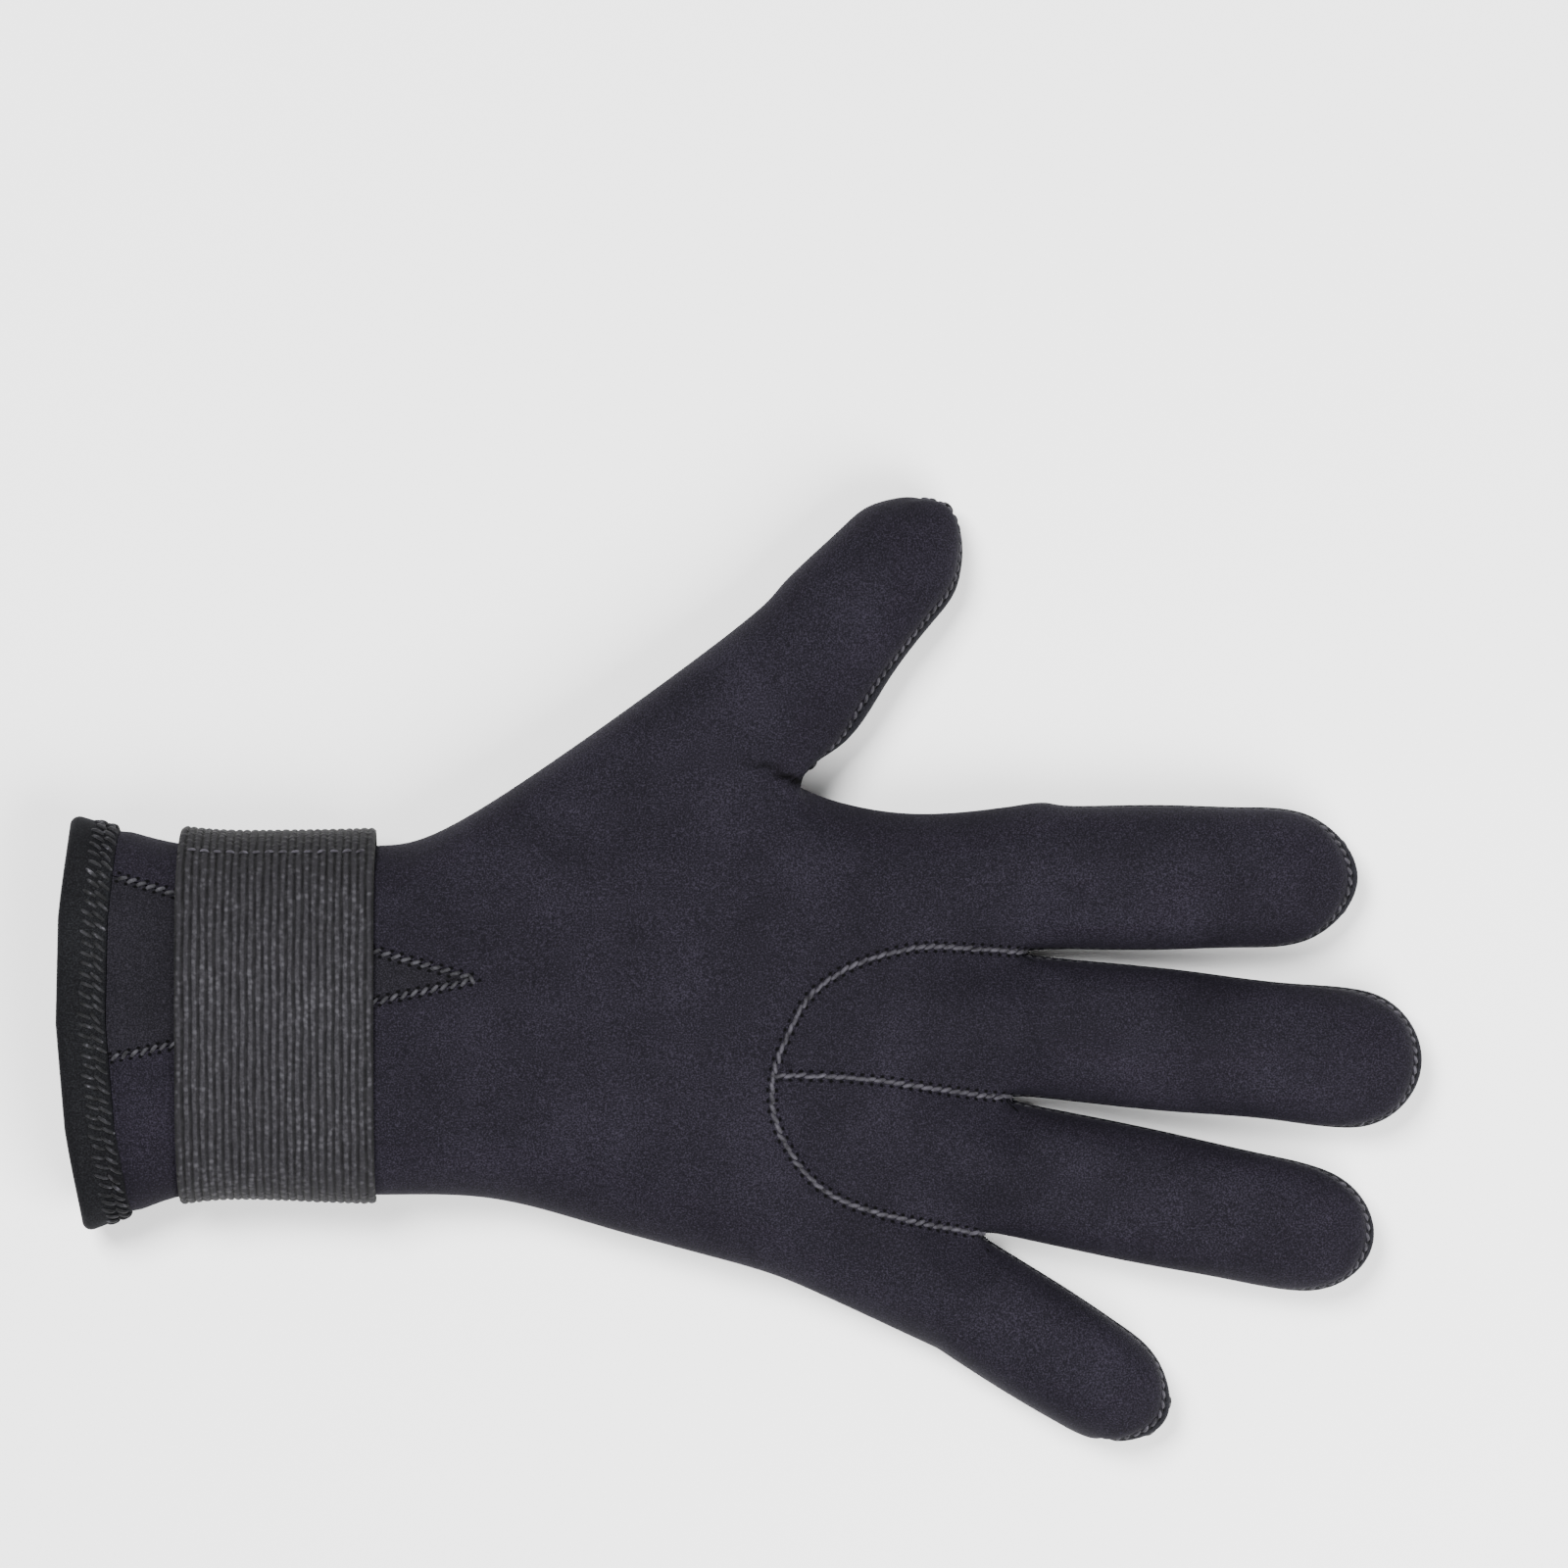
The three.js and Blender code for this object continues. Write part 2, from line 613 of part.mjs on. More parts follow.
// The panels.
const half = SEAM_GAP / 2;
const hand = grown(0);
const shell = hand.subtract(grown(-WALL)).subtract(beforeCuff(HEM_WIDTH + half));
const hem = hand.subtract(grown(-HEM_WALL)).intersect(beforeCuff(HEM_WIDTH - half)).subtract(beforeCuff(0));
const palm = shell.intersect(palmRegion(-half));
const upper = shell.subtract(palmRegion(half));
const inset = upper.intersect(insetRegion(-half));
const back = upper.subtract(insetRegion(half)).subtract(gussetRegion(half));
const gusset = upper.intersect(gussetRegion(-half));
const middlePanel = inset.intersect(middleSide(-half));
const ringPanel = inset.subtract(middleSide(half));

// The strap lies on the skin over the back, and leaves it on the thumb's edge for the layers below.
const turnTop = STRAP_LIFT + STRAP_TURN * WRIST_HEIGHT;
const strapHeight = ({ y, z }) => {
  const down = THREE.MathUtils.smoothstep(turnTop - z, 0, STRAP_TURN_HEIGHT * WRIST_HEIGHT);
  return y > 0 ? LAYER_GAP + (STRAP_END_BASE - LAYER_GAP) * down : LAYER_GAP;
};
const layer = (base, thickness) => {
  const low = typeof base === "number" ? () => base : base;
  return grown((place) => low(place) + thickness).subtract(grown(low));
};
const acrossBand = (start, width, from, to) => prism([
  flat(start, from), flat(start, to), flat(start + width, to), flat(start + width, from),
]);
const wristMiddle = STRAP_LIFT + SIDE_HEIGHT * WRIST_HEIGHT;
const underWrist = prism([
  flat(0, -FAR), flat(HAND_LENGTH, -FAR), flat(HAND_LENGTH, FAR), flat(0, FAR),
], DEEP, wristMiddle);
const strapBand = acrossBand(STRAP_START, STRAP_WIDTH, -FAR / 2, FAR / 2);
const strapKept = acrossBand(STRAP_START, STRAP_WIDTH, wristEdge - STRAP_REACH, FAR / 2);
const overWrist = strapBand.subtract(underWrist).add(strapKept);
const strap = layer(strapHeight, STRAP_THICKNESS).intersect(overWrist);
const patchStart = STRAP_START + (STRAP_WIDTH - PATCH_WIDTH) / 2;
const patchRegion = (reach, outer) =>
  acrossBand(patchStart, PATCH_WIDTH, wristEdge - reach, wristEdge - outer).intersect(underWrist);
const loop = layer(LOOP_BASE, LOOP_THICKNESS).intersect(patchRegion(LOOP_REACH, LOOP_EDGE));
const hook = layer(HOOK_BASE, HOOK_THICKNESS).intersect(patchRegion(HOOK_REACH, HOOK_EDGE));

function geometryOf(solid) {
  const { vertProperties, triVerts } = solid.getMesh();
  const geometry = new THREE.BufferGeometry();
  geometry.setAttribute("position", new THREE.BufferAttribute(vertProperties, 3));
  geometry.setIndex(new THREE.BufferAttribute(triVerts, 1));
  return geometry;
}

const glove = new THREE.Group();
glove.name = "diving_glove";

function addPiece(name, solid, color, roughness, metalness = 0) {
  const material = new THREE.MeshStandardMaterial({ color, roughness, metalness });
  const mesh = new THREE.Mesh(geometryOf(solid), material);
  mesh.name = name;
  glove.add(mesh);
}

addPiece("back_panel", back, "#2e2a35", 0.85);
addPiece("middle_finger_panel", middlePanel, "#2e2a35", 0.85);
addPiece("ring_finger_panel", ringPanel, "#2e2a35", 0.85);
addPiece("palm_panel", palm, "#26252a", 0.7);
addPiece("cuff_gusset", gusset, "#2c2b31", 0.9);
addPiece("cuff_hem", hem, "#232427", 0.9);
addPiece("wrist_strap", strap, "#3a393c", 0.9);
addPiece("hook_patch", hook, "#1c1c1e", 0.8);
addPiece("loop_patch", loop, "#1e1e20", 1);

// The glove stands with the middle of its footprint on the origin.
const box = new THREE.Box3().setFromObject(glove);
const centre = box.getCenter(new THREE.Vector3());
glove.children.forEach((mesh) => mesh.geometry.translate(-centre.x, -centre.y, -box.min.z));

export default glove;
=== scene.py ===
# A diving glove for the right hand, lying palm down on a pale floor.
# X runs from the cuff to the fingertips, Y across the hand towards the thumb, Z up from the floor.
# Lengths are in millimetres until a mesh is made, which is in metres.

import bpy
import numpy as np
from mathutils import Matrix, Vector
from mathutils.bvhtree import BVHTree


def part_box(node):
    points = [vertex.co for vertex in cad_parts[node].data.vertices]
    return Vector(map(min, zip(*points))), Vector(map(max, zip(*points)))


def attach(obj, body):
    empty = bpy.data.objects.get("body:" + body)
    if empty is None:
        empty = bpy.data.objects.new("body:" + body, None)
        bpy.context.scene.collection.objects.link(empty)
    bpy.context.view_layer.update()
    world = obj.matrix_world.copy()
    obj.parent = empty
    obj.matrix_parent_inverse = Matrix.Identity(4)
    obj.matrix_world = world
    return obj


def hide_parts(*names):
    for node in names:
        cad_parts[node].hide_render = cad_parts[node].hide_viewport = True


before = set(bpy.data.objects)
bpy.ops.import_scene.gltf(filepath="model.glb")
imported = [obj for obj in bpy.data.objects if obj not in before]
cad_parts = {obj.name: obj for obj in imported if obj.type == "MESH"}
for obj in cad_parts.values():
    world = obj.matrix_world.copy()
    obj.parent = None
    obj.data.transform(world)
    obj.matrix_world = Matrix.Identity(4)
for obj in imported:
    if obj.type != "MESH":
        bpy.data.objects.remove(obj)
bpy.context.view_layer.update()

# The skin of the glove. The real one is glued up from flat sheets of foam rubber and takes the shape
# of a hand: a slim sleeve, a broad flat palm and five round fingers. It is worked out as one smooth
# form through a coarse net of points, which the panels are then cut from along the seams.
MM = 0.001
HAND_LENGTH = 189.5
HAND_HEIGHT = 27
CUFF_WIDTH = 82
CUFF_HEIGHT = 24
WRIST_WIDTH = 70
WRIST_HEIGHT = 22
FINGER_HEIGHT = 20
THUMB_WIDTH = 31
THUMB_LENGTH = 60.4
THUMB_HEIGHT = 22
THUMB_ANGLE = 48
FORK_GAP = 0.9
SIDE_HEIGHT = 0.46
STRAP_LIFT = 4.9
DOT_RISE = 0.35

# Index, middle, ring and little finger: width, length, direction in degrees, share of width at the tip.
FINGERS = np.array([
    (29.4, 65.0, 0, 0.84),
    (28.8, 79.4, -5.8, 0.9),
    (27.3, 75.2, -11.6, 0.84),
    (24.4, 49.6, -32.2, 0.8),
])
finger_width, finger_length, finger_angle, finger_tip = FINGERS.T
KNUCKLES = finger_width.sum()

# Cuff to knuckles: share of the length, slant, the thumb's and little finger's edges, height, lift.
STATIONS = np.array([
    (-0.07, 0, 0.505 * CUFF_WIDTH, -0.52 * CUFF_WIDTH, CUFF_HEIGHT, 0),
    (0.03, 0, 0.485 * CUFF_WIDTH, -0.5 * CUFF_WIDTH, CUFF_HEIGHT, 0.04),
    (0.124, 0, 0.5 * WRIST_WIDTH, -0.487 * WRIST_WIDTH, WRIST_HEIGHT, 1),
    (0.226, 0, 0.487 * WRIST_WIDTH, -0.473 * WRIST_WIDTH, WRIST_HEIGHT, 1.05),
    (0.33, 0, 0.494 * WRIST_WIDTH, -0.482 * WRIST_WIDTH, 1.02 * WRIST_HEIGHT, 1),
    (0.445, 0, 0.392 * KNUCKLES, -0.315 * KNUCKLES, 0.98 * HAND_HEIGHT, 0),
    (0.6, -0.03, 0.43 * KNUCKLES, -0.37 * KNUCKLES, HAND_HEIGHT, 0),
    (0.762, -0.06, 0.427 * KNUCKLES, -0.432 * KNUCKLES, HAND_HEIGHT, 0),
    (0.875, -0.092, 0.374 * KNUCKLES, -0.484 * KNUCKLES, 0.93 * HAND_HEIGHT, 0),
])
# Nine points across the hand: place between the edges, height over the back and under the palm.
ACROSS = np.array([
    (0.07, 0.84, 0.07),
    (0.18, 0.96, 0),
    (0.285, 1, 0),
    (0.39, 1.01, 0),
    (0.5, 1.01, 0),
    (0.61, 1, 0),
    (0.715, 0.98, 0),
    (0.82, 0.93, 0),
    (0.93, 0.8, 0.07),
])
# A finger's section: shares of the half width and of the height.
SECTION = np.array([
    (0.72, 0.87), (0, 1), (-0.72, 0.87), (-1, SIDE_HEIGHT),
    (-0.76, 0.07), (0, 0), (0.76, 0.07), (1, SIDE_HEIGHT),
])
# Rings along the fingers and the thumb: share of the run, of the width and of the height.
FINGER_RINGS = np.array([(0, 1, 1), (0.35, 1.01, 0.99), (0.7, 0.98, 0.97), (1, 1, 0.86)])
THUMB_RINGS = np.array([(0.18, 1.01, 1), (0.45, 0.905, 0.93), (0.7, 0.83, 0.87), (0.86, 0.68, 0.74)])


def heading(degrees):
    """The direction in plan at an angle from X: its cosine and its sine."""
    turn = np.radians(degrees)
    return np.stack([np.cos(turn), np.sin(turn)], -1)


def left_of(direction):
    """A direction in plan turned a quarter to the left: minus its Y, and its X."""
    return np.stack([-direction[..., 1], direction[..., 0]], -1)


def raised(plan, height):
    """Places in plan given their heights."""
    return np.concatenate([plan, np.broadcast_to(height, plan.shape[:-1])[..., None]], -1)


def ring_points(centre, direction, half_width, height):
    """Sections of a finger: each point lies at its shares of the half width and the height."""
    across = left_of(direction)[..., None, :]
    plan = centre[..., None, :] + across * (SECTION[:, 0] * half_width[..., None])[..., None]
    return raised(plan, SECTION[:, 1] * height[..., None])


ways = heading(finger_angle)
steps = -finger_width[:, None] * left_of(ways)
forks = np.array([HAND_LENGTH, 0.391 * KNUCKLES]) + np.vstack([np.zeros((1, 2)), np.cumsum(steps, 0)])
thumb_way = heading(THUMB_ANGLE)
thumb_fork = np.array([STATIONS[7, 0] * HAND_LENGTH, STATIONS[7, 2]])
thumb_root = thumb_fork + left_of(thumb_way) * 0.46 * THUMB_WIDTH


def net_points():
    """The net's points in their order: ten rings of twenty round the hand, three on the forks'
    sides, four rings of eight and a tip for each finger, the same for the thumb, and the cuff's cap."""
    along, slant, thumb_side, little_side, height, lift = STATIONS.T
    place = np.concatenate([ACROSS[:, 0], [1], ACROSS[::-1, 0], [0]])
    rise = np.concatenate([ACROSS[:, 1], [SIDE_HEIGHT], ACROSS[::-1, 2], [SIDE_HEIGHT]])
    near = np.stack([along * HAND_LENGTH, thumb_side], -1)[:, None]
    far = np.stack([(along + slant) * HAND_LENGTH, little_side], -1)[:, None]
    heights = lift[:, None] * STRAP_LIFT + rise * height[:, None]
    hand = raised(near + place[:, None] * (far - near), heights)

    outer = np.array([True, False, False, False, True])
    fork_width = finger_width[[0, 1, 2, 3, 3]]
    inward = left_of(ways[[0, 1, 2, 3, 3]]) * (np.array([-0.14, 0, 0, 0, 0.14]) * fork_width)[:, None]
    back = np.stack([np.where(outer, 0, 0.1 * fork_width), np.zeros(5)], -1)
    tops = raised(forks + inward - back, np.where(outer, SECTION[0, 1], 0.72) * FINGER_HEIGHT)
    bottoms = raised(forks + inward - back, np.where(outer, SECTION[4, 1], 0.12) * FINGER_HEIGHT)
    sides = raised(forks, SIDE_HEIGHT * FINGER_HEIGHT)
    middle = (forks[:-1] + forks[1:]) / 2
    upper = np.empty((9, 3))
    upper[0::2] = tops
    upper[1::2] = raised(middle, 1.05 * FINGER_HEIGHT)
    lower = np.empty((9, 3))
    lower[0::2] = bottoms
    lower[1::2] = raised(middle, 0)
    fork_ring = np.vstack([upper, sides[4:], lower[::-1], sides[:1]])

    first = 0.26 * finger_width
    run, width, high = FINGER_RINGS.T
    distance = first[:, None] + run * (finger_length - 0.3 * finger_width - first)[:, None]
    centre = middle[:, None] + ways[:, None] * distance[..., None]
    share = width * np.where(run == 1, finger_tip[:, None], 1)
    half = (share * finger_width[:, None] - FORK_GAP) / 2
    fingers = ring_points(centre, ways[:, None], half, np.broadcast_to(high * FINGER_HEIGHT, half.shape))
    tips = raised(middle + ways * finger_length[:, None], 0.4 * FINGER_HEIGHT)

    run, width, high = THUMB_RINGS.T
    centre = thumb_root + thumb_way * (run * THUMB_LENGTH)[:, None]
    thumb = ring_points(centre, thumb_way[None], width * THUMB_WIDTH / 2, high * THUMB_HEIGHT)
    thumb_tip = raised((thumb_root + thumb_way * THUMB_LENGTH)[None], 0.36 * THUMB_HEIGHT)

    cap = hand[0, 1:8].copy()
    cap[:, 2] = (hand[0, 1:8, 2] + hand[0, 17:10:-1, 2]) / 2
    parts = [hand, fork_ring, sides[1:4], fingers, tips, thumb, thumb_tip, cap]
    return np.vstack([part.reshape(-1, 3) for part in parts])


def tube(near, far):
    """Quads between two rings of numbers, which wind outwards."""
    return np.stack([near, np.roll(near, -1), np.roll(far, -1), far], -1)


def dome(ring, tip):
    """Four quads that close a ring of eight round a tip."""
    return np.stack([ring[0::2], ring[1::2], np.full(4, tip), np.roll(ring, 1)[0::2]], -1)


def net_quads():
    """The net's faces, as the four numbers of their points."""
    hand = np.arange(200).reshape(10, 20)
    side = np.array([hand[9, 19], 200, 201, 202, hand[9, 9]])
    fingers = np.arange(203, 331).reshape(4, 4, 8)
    thumb = np.arange(335, 367).reshape(4, 8)
    quads = [tube(hand[i], hand[i + 1])[: 18 if i in (5, 6) else 20] for i in range(9)]
    front = hand[9]
    for i, finger in enumerate(fingers):
        top, low = 2 * i, 18 - 2 * i
        root = [front[top], front[top + 1], front[top + 2], side[i + 1]]
        root += [front[low - 2], front[low - 1], front[low], side[i]]
        rings = [np.array(root), *finger]
        quads += [tube(near, far) for near, far in zip(rings, rings[1:])]
        quads.append(dome(finger[3], 331 + i))
    root = hand[[5, 6, 7, 7, 7, 6, 5, 5], [0, 0, 0, 19, 18, 18, 18, 19]]
    rings = [root, *thumb]
    quads += [tube(near, far) for near, far in zip(rings, rings[1:])]
    quads.append(dome(thumb[3], 367))
    middle = np.concatenate([[hand[0, 19]], np.arange(368, 375), [hand[0, 9]]])
    for row, turned in ((hand[0, :9], False), (hand[0, 18:9:-1], True)):
        quad = np.stack([row[1:], row[:-1], middle[:-1], middle[1:]], -1)
        quads.append(quad[:, ::-1] if turned else quad)
    return np.vstack(quads)


def fitted(points, quads):
    """The net whose smooth surface passes through the points. A point of valence n ends up at n² of
    itself, 4 of each neighbour and 1 of each opposite corner, over n(n + 5); the net solves for that."""
    count = len(points)
    limit = np.zeros((count, count))
    for shift, weight in ((1, 2), (3, 2), (2, 1)):
        np.add.at(limit, (quads, np.roll(quads, -shift, 1)), weight)
    valence = np.bincount(quads.ravel(), minlength=count)
    limit[np.diag_indices(count)] = np.maximum(valence, 1) ** 2
    limit /= np.where(valence > 0, valence * (valence + 5), 1)[:, None]
    return np.linalg.solve(limit, points)


def smooth_surface(points, quads, level):
    """Points and quads of the smooth surface of a net, after some rounds of subdivision."""
    used, numbers = np.unique(quads, return_inverse=True)
    mesh = bpy.data.meshes.new("net")
    mesh.from_pydata(points[used].tolist(), [], numbers.reshape(-1, 4).tolist())
    holder = bpy.data.objects.new("net", mesh)
    bpy.context.scene.collection.objects.link(holder)
    rounds = holder.modifiers.new("smooth", "SUBSURF")
    rounds.levels = level
    rounds.render_levels = level
    made = holder.evaluated_get(bpy.context.evaluated_depsgraph_get()).to_mesh()
    places = np.empty(3 * len(made.vertices))
    made.vertices.foreach_get("co", places)
    corners = np.empty(4 * len(made.polygons), int)
    made.loops.foreach_get("vertex_index", corners)
    bpy.data.objects.remove(holder)
    bpy.data.meshes.remove(mesh)
    return places.reshape(-1, 3), corners.reshape(-1, 4)


def outward(places, quads):
    """Unit normals of a net's points: the sum of the crossed diagonals of the quads round each."""
    corner = places[quads]
    crossed = np.cross(corner[:, 2] - corner[:, 0], corner[:, 3] - corner[:, 1])
    total = np.zeros_like(places)
    np.add.at(total, quads, crossed[:, None])
    return total / np.linalg.norm(total, axis=1, keepdims=True)


def eased(share):
    """Smoothstep: a share from 0 to 1 that starts and ends level, three squares less two cubes."""
    return share * share * (3 - 2 * share)


def lumps(places, size, seed):
    """Soft random hills between -1 and 1: random heights on a grid of cubes, blended by smoothstep."""
    heights = np.random.default_rng(seed).uniform(-1, 1, (32, 32, 32))
    low = np.floor(places / size).astype(int)
    share = eased(places / size - low)
    total = np.zeros(len(places))
    for corner in np.ndindex(2, 2, 2):
        weight = np.prod(np.where(corner, share, 1 - share), axis=1)
        total += weight * heights[tuple(((low + corner) % 32).T)]
    return total


net = net_quads()
cage = fitted(net_points(), net)
skin, skin_quads = smooth_surface(cage, net, level=4)
# Where it lies on the floor it is flat, and only the raised dots touch down. A height over the floor
# becomes half the sum of itself and the root of its square plus a little, which rounds the bend.
FLOOR_BEND = 0.5
FLOOR_SINK = 0.12
above = skin[:, 2] - DOT_RISE
skin[:, 2] = DOT_RISE + (above + np.sqrt(above ** 2 + FLOOR_BEND)) / 2 - FLOOR_SINK
skin[:, 2] = np.maximum(skin[:, 2], DOT_RISE)
skin_normals = outward(skin, skin_quads)

# From the net's place to the frame's: the loop tape's corner is known in both.
STRAP_START = 23.5
STRAP_WIDTH = 38.5
PATCH_WIDTH = 37
LOOP_EDGE = 2
patch_start = STRAP_START + (STRAP_WIDTH - PATCH_WIDTH) / 2
loop_low, loop_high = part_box("loop_patch")
shift = np.array([loop_low[0] / MM - patch_start, loop_high[1] / MM - WRIST_WIDTH / 2 + LOOP_EDGE, 0])

# The seams. Each is a line in plan or at a height up the side of the fingers, where two panels are
# glued edge to edge and sewn over, so the skin dips a little along it.
HEM_WIDTH = 9.6
INSET_DEPTH = 46
GUSSET_LENGTH = 82
GUSSET_WIDTH = 41
FAR = 400
# Outline of the inset and its centre seam: back from the knuckles by a share of its depth, and a share
# of the way between the forks beside it.
INSET = np.array([
    (0.31, -0.02), (0.49, -0.02), (0.64, 0.01), (0.78, 0.06), (0.9, 0.145), (0.96, 0.25), (1, 0.385),
    (1, 0.49), (0.96, 0.6), (0.876, 0.705), (0.77, 0.8), (0.63, 0.87), (0.46, 0.915), (0.19, 0.965),
])
CENTRE_SEAM = np.array([(1.1, 0.425), (0.8, 0.43), (0.5, 0.45), (0.2, 0.49)])
# Height of the seam between back and palm, as shares along the hand or the thumb and of the height.
SEAM_HEIGHT = np.array([(0.3, 0.6), (0.76, 0.6), (0.95, 0.48), (1.6, 0.42)])
THUMB_SEAM_HEIGHT = np.array([(-1.6, 0.55), (0, 0.55), (0.3, 0.72), (0.7, 0.66), (1, 0.4), (1.3, 0.4)])
# Round a fingertip the seam climbs higher, over a stretch that starts at a share of the finger's length.
TIP_RISE = 2.6
TIP_START = 0.8
TIP_STRETCH = 0.14
# The cuff's edge bows: place across it and how far the edge lies in, as shares of its width.
CUFF_EDGE = np.array([
    (-0.9, 0.134), (-0.5, 0.058), (-0.25, 0.02), (0, 0), (0.25, 0.005), (0.5, 0.029), (0.9, 0.073),
])


def spline(points, count):
    """A smooth line through points: on each stretch, the cubic whose slope at a point is half the
    way from the point before it to the one after."""
    points = np.asarray(points, float)
    last = len(points) - 1
    t = np.linspace(0, last, count + 1)
    i = np.minimum(t.astype(int), last - 1)
    t = (t - i)[:, None]
    before, start, end, after = (points[np.clip(i + k, 0, last)] for k in (-1, 0, 1, 2))
    slope, next_slope = (end - before) / 2, (after - start) / 2
    cubic = 2 * start - 2 * end + slope + next_slope
    square = -3 * start + 3 * end - 2 * slope - next_slope
    return ((cubic * t + square) * t + slope) * t + start


def signed(places, outline):
    """Distance in plan to a closed outline, negative inside it. The nearest point of each stretch is
    the place's shadow on it, and a place is inside if a line from it crosses the outline oddly often."""
    start = np.asarray(outline, float)
    run = np.roll(start, -1, 0) - start
    away = places[:, None, :2] - start
    share = np.clip((away * run).sum(-1) / (run ** 2).sum(-1), 0, 1)
    distance = np.linalg.norm(away - share[..., None] * run, axis=-1).min(1)
    y, low, high = places[:, None, 1], start[:, 1], start[:, 1] + run[:, 1]
    with np.errstate(divide="ignore", invalid="ignore"):
        meets = start[:, 0] + run[:, 0] * (y - low) / run[:, 1]
    crossed = ((low > y) != (high > y)) & (places[:, None, 0] < meets)
    return np.where(crossed.sum(1) % 2 == 1, -distance, distance)


def inset_place(rows):
    """Places of the inset's outline: a share of the way between its forks, and back by a depth."""
    plan = forks[1] + rows[:, 1:] * (forks[3] - forks[1])
    return plan - np.stack([rows[:, 0] * INSET_DEPTH, np.zeros(len(rows))], -1)


def run_out(fork, left, right):
    """The line between two fingers, from near their fork to far beyond their tips."""
    way = heading((finger_angle[left] + finger_angle[right]) / 2)
    return forks[fork] + way * np.array([[finger_width[left]], [FAR / 2]])


def on_thumb(along, side):
    """A place by the thumb: a share of its length from its root, and a distance to its left."""
    return thumb_root + thumb_way * along * THUMB_LENGTH + left_of(thumb_way) * side


inset_curve = spline(np.vstack([forks[1:2], inset_place(INSET), forks[3:4]]), 120)
inset_outline = np.vstack([run_out(1, 0, 1)[::-1], inset_curve, run_out(3, 2, 3)])
centre_curve = spline(np.vstack([inset_place(CENTRE_SEAM), forks[2:3]]), 40)
middle_outline = np.vstack([
    centre_curve, run_out(2, 1, 2), [(FAR, FAR), (centre_curve[0, 0], FAR)],
])
gusset_middle = 0.14 * CUFF_WIDTH
gusset_outline = np.array([
    (0, gusset_middle + GUSSET_WIDTH / 2),
    (0, gusset_middle - GUSSET_WIDTH / 2),
    (GUSSET_LENGTH, 0.105 * CUFF_WIDTH),
])
palm_start = 0.406 * HAND_LENGTH
palm_edge = np.stack([STATIONS[5:, :2].sum(1) * HAND_LENGTH, STATIONS[5:, 3] + 5], -1)
little_end = forks[4] + left_of(ways[3]) * 5 + ways[3] * 0.8 * finger_length[3]
fingers_outline = np.vstack([
    [(palm_start, 0), (palm_start, 5 - WRIST_WIDTH / 2)],
    palm_edge,
    [little_end, little_end + heading(finger_angle[3] - 50) * FAR / 4],
    [(FAR, -FAR / 4), (FAR, thumb_fork[1])],
    [thumb_fork, thumb_fork - thumb_way * THUMB_WIDTH / 3],
])
thumb_outer = THUMB_WIDTH / 2 - 7
thumb_outline = np.vstack([
    spline([
        (palm_start, 0),
        (palm_start, 0.13 * KNUCKLES),
        (palm_start + 0.05 * KNUCKLES, 0.24 * KNUCKLES),
        on_thumb(-0.3, thumb_outer + 0.12 * THUMB_WIDTH),
        on_thumb(0.1, thumb_outer + 0.05 * THUMB_WIDTH),
        on_thumb(0.45, thumb_outer),
        on_thumb(0.85, thumb_outer - 0.08 * THUMB_WIDTH),
    ], 60),
    [on_thumb(1.4, 0), on_thumb(1.4, -THUMB_WIDTH), on_thumb(0.2, -THUMB_WIDTH)],
    [thumb_fork, (thumb_fork[0], 0)],
])


def cuff_edge(y):
    """X of the cuff's bowed edge at a Y."""
    return CUFF_WIDTH * np.interp(y / CUFF_WIDTH, *CUFF_EDGE.T)


def near_tip(places):
    """How near places are to a fingertip, from 0 to 1: each is measured along the fingers that it
    lies on, and the share rises by smoothstep over the last stretch."""
    away = places[:, None, :2] - (forks[:-1] + forks[1:]) / 2
    along = (away * ways).sum(-1) / finger_length
    beside = np.abs((away * left_of(ways)).sum(-1)) / finger_width
    share = np.clip((along - TIP_START) / TIP_STRETCH, 0, 1) * (beside < 0.6)
    return eased(share).max(1)


def palm_value(places):
    """Negative on the palm panel. It is inside one of two outlines in plan, the fingers' or the
    thumb's, and below the height of the seam up their sides, which is higher round the tips."""
    seam = np.interp(places[:, 0], *(SEAM_HEIGHT * (HAND_LENGTH, FINGER_HEIGHT)).T)
    seam += TIP_RISE * near_tip(places)
    along = (places[:, :2] - thumb_fork) @ thumb_way
    thumb_seam = np.interp(along, *(THUMB_SEAM_HEIGHT * (THUMB_LENGTH, FINGER_HEIGHT)).T)
    fingers = np.maximum(signed(places, fingers_outline), places[:, 2] - seam)
    thumb = np.maximum(signed(places, thumb_outline), places[:, 2] - thumb_seam)
    return np.minimum(fingers, thumb)


def gusset_value(places):
    """Negative on the pointed insert: inside its outline and on the upper half of the wrist."""
    return np.maximum(signed(places, gusset_outline), SIDE_HEIGHT * CUFF_HEIGHT - places[:, 2])


hem_distance = skin[:, 0] - cuff_edge(skin[:, 1]) - HEM_WIDTH
palm_distance = palm_value(skin)
inset_distance = signed(skin, inset_outline)
centre_distance = signed(skin, middle_outline)
gusset_distance = gusset_value(skin)
on_back = palm_distance > 0
seam_distance = np.minimum(np.abs(palm_distance), np.abs(hem_distance))
for distance, held in (
    (inset_distance, on_back),
    (centre_distance, on_back & (inset_distance < 0)),
    (gusset_distance, on_back),
):
    seam_distance = np.where(held, np.minimum(seam_distance, np.abs(distance)), seam_distance)


def dip(distance, depth, reach):
    """A valley along a seam: its depth falls off with the square of the distance over the reach."""
    return depth * np.exp(-((distance / reach) ** 2))


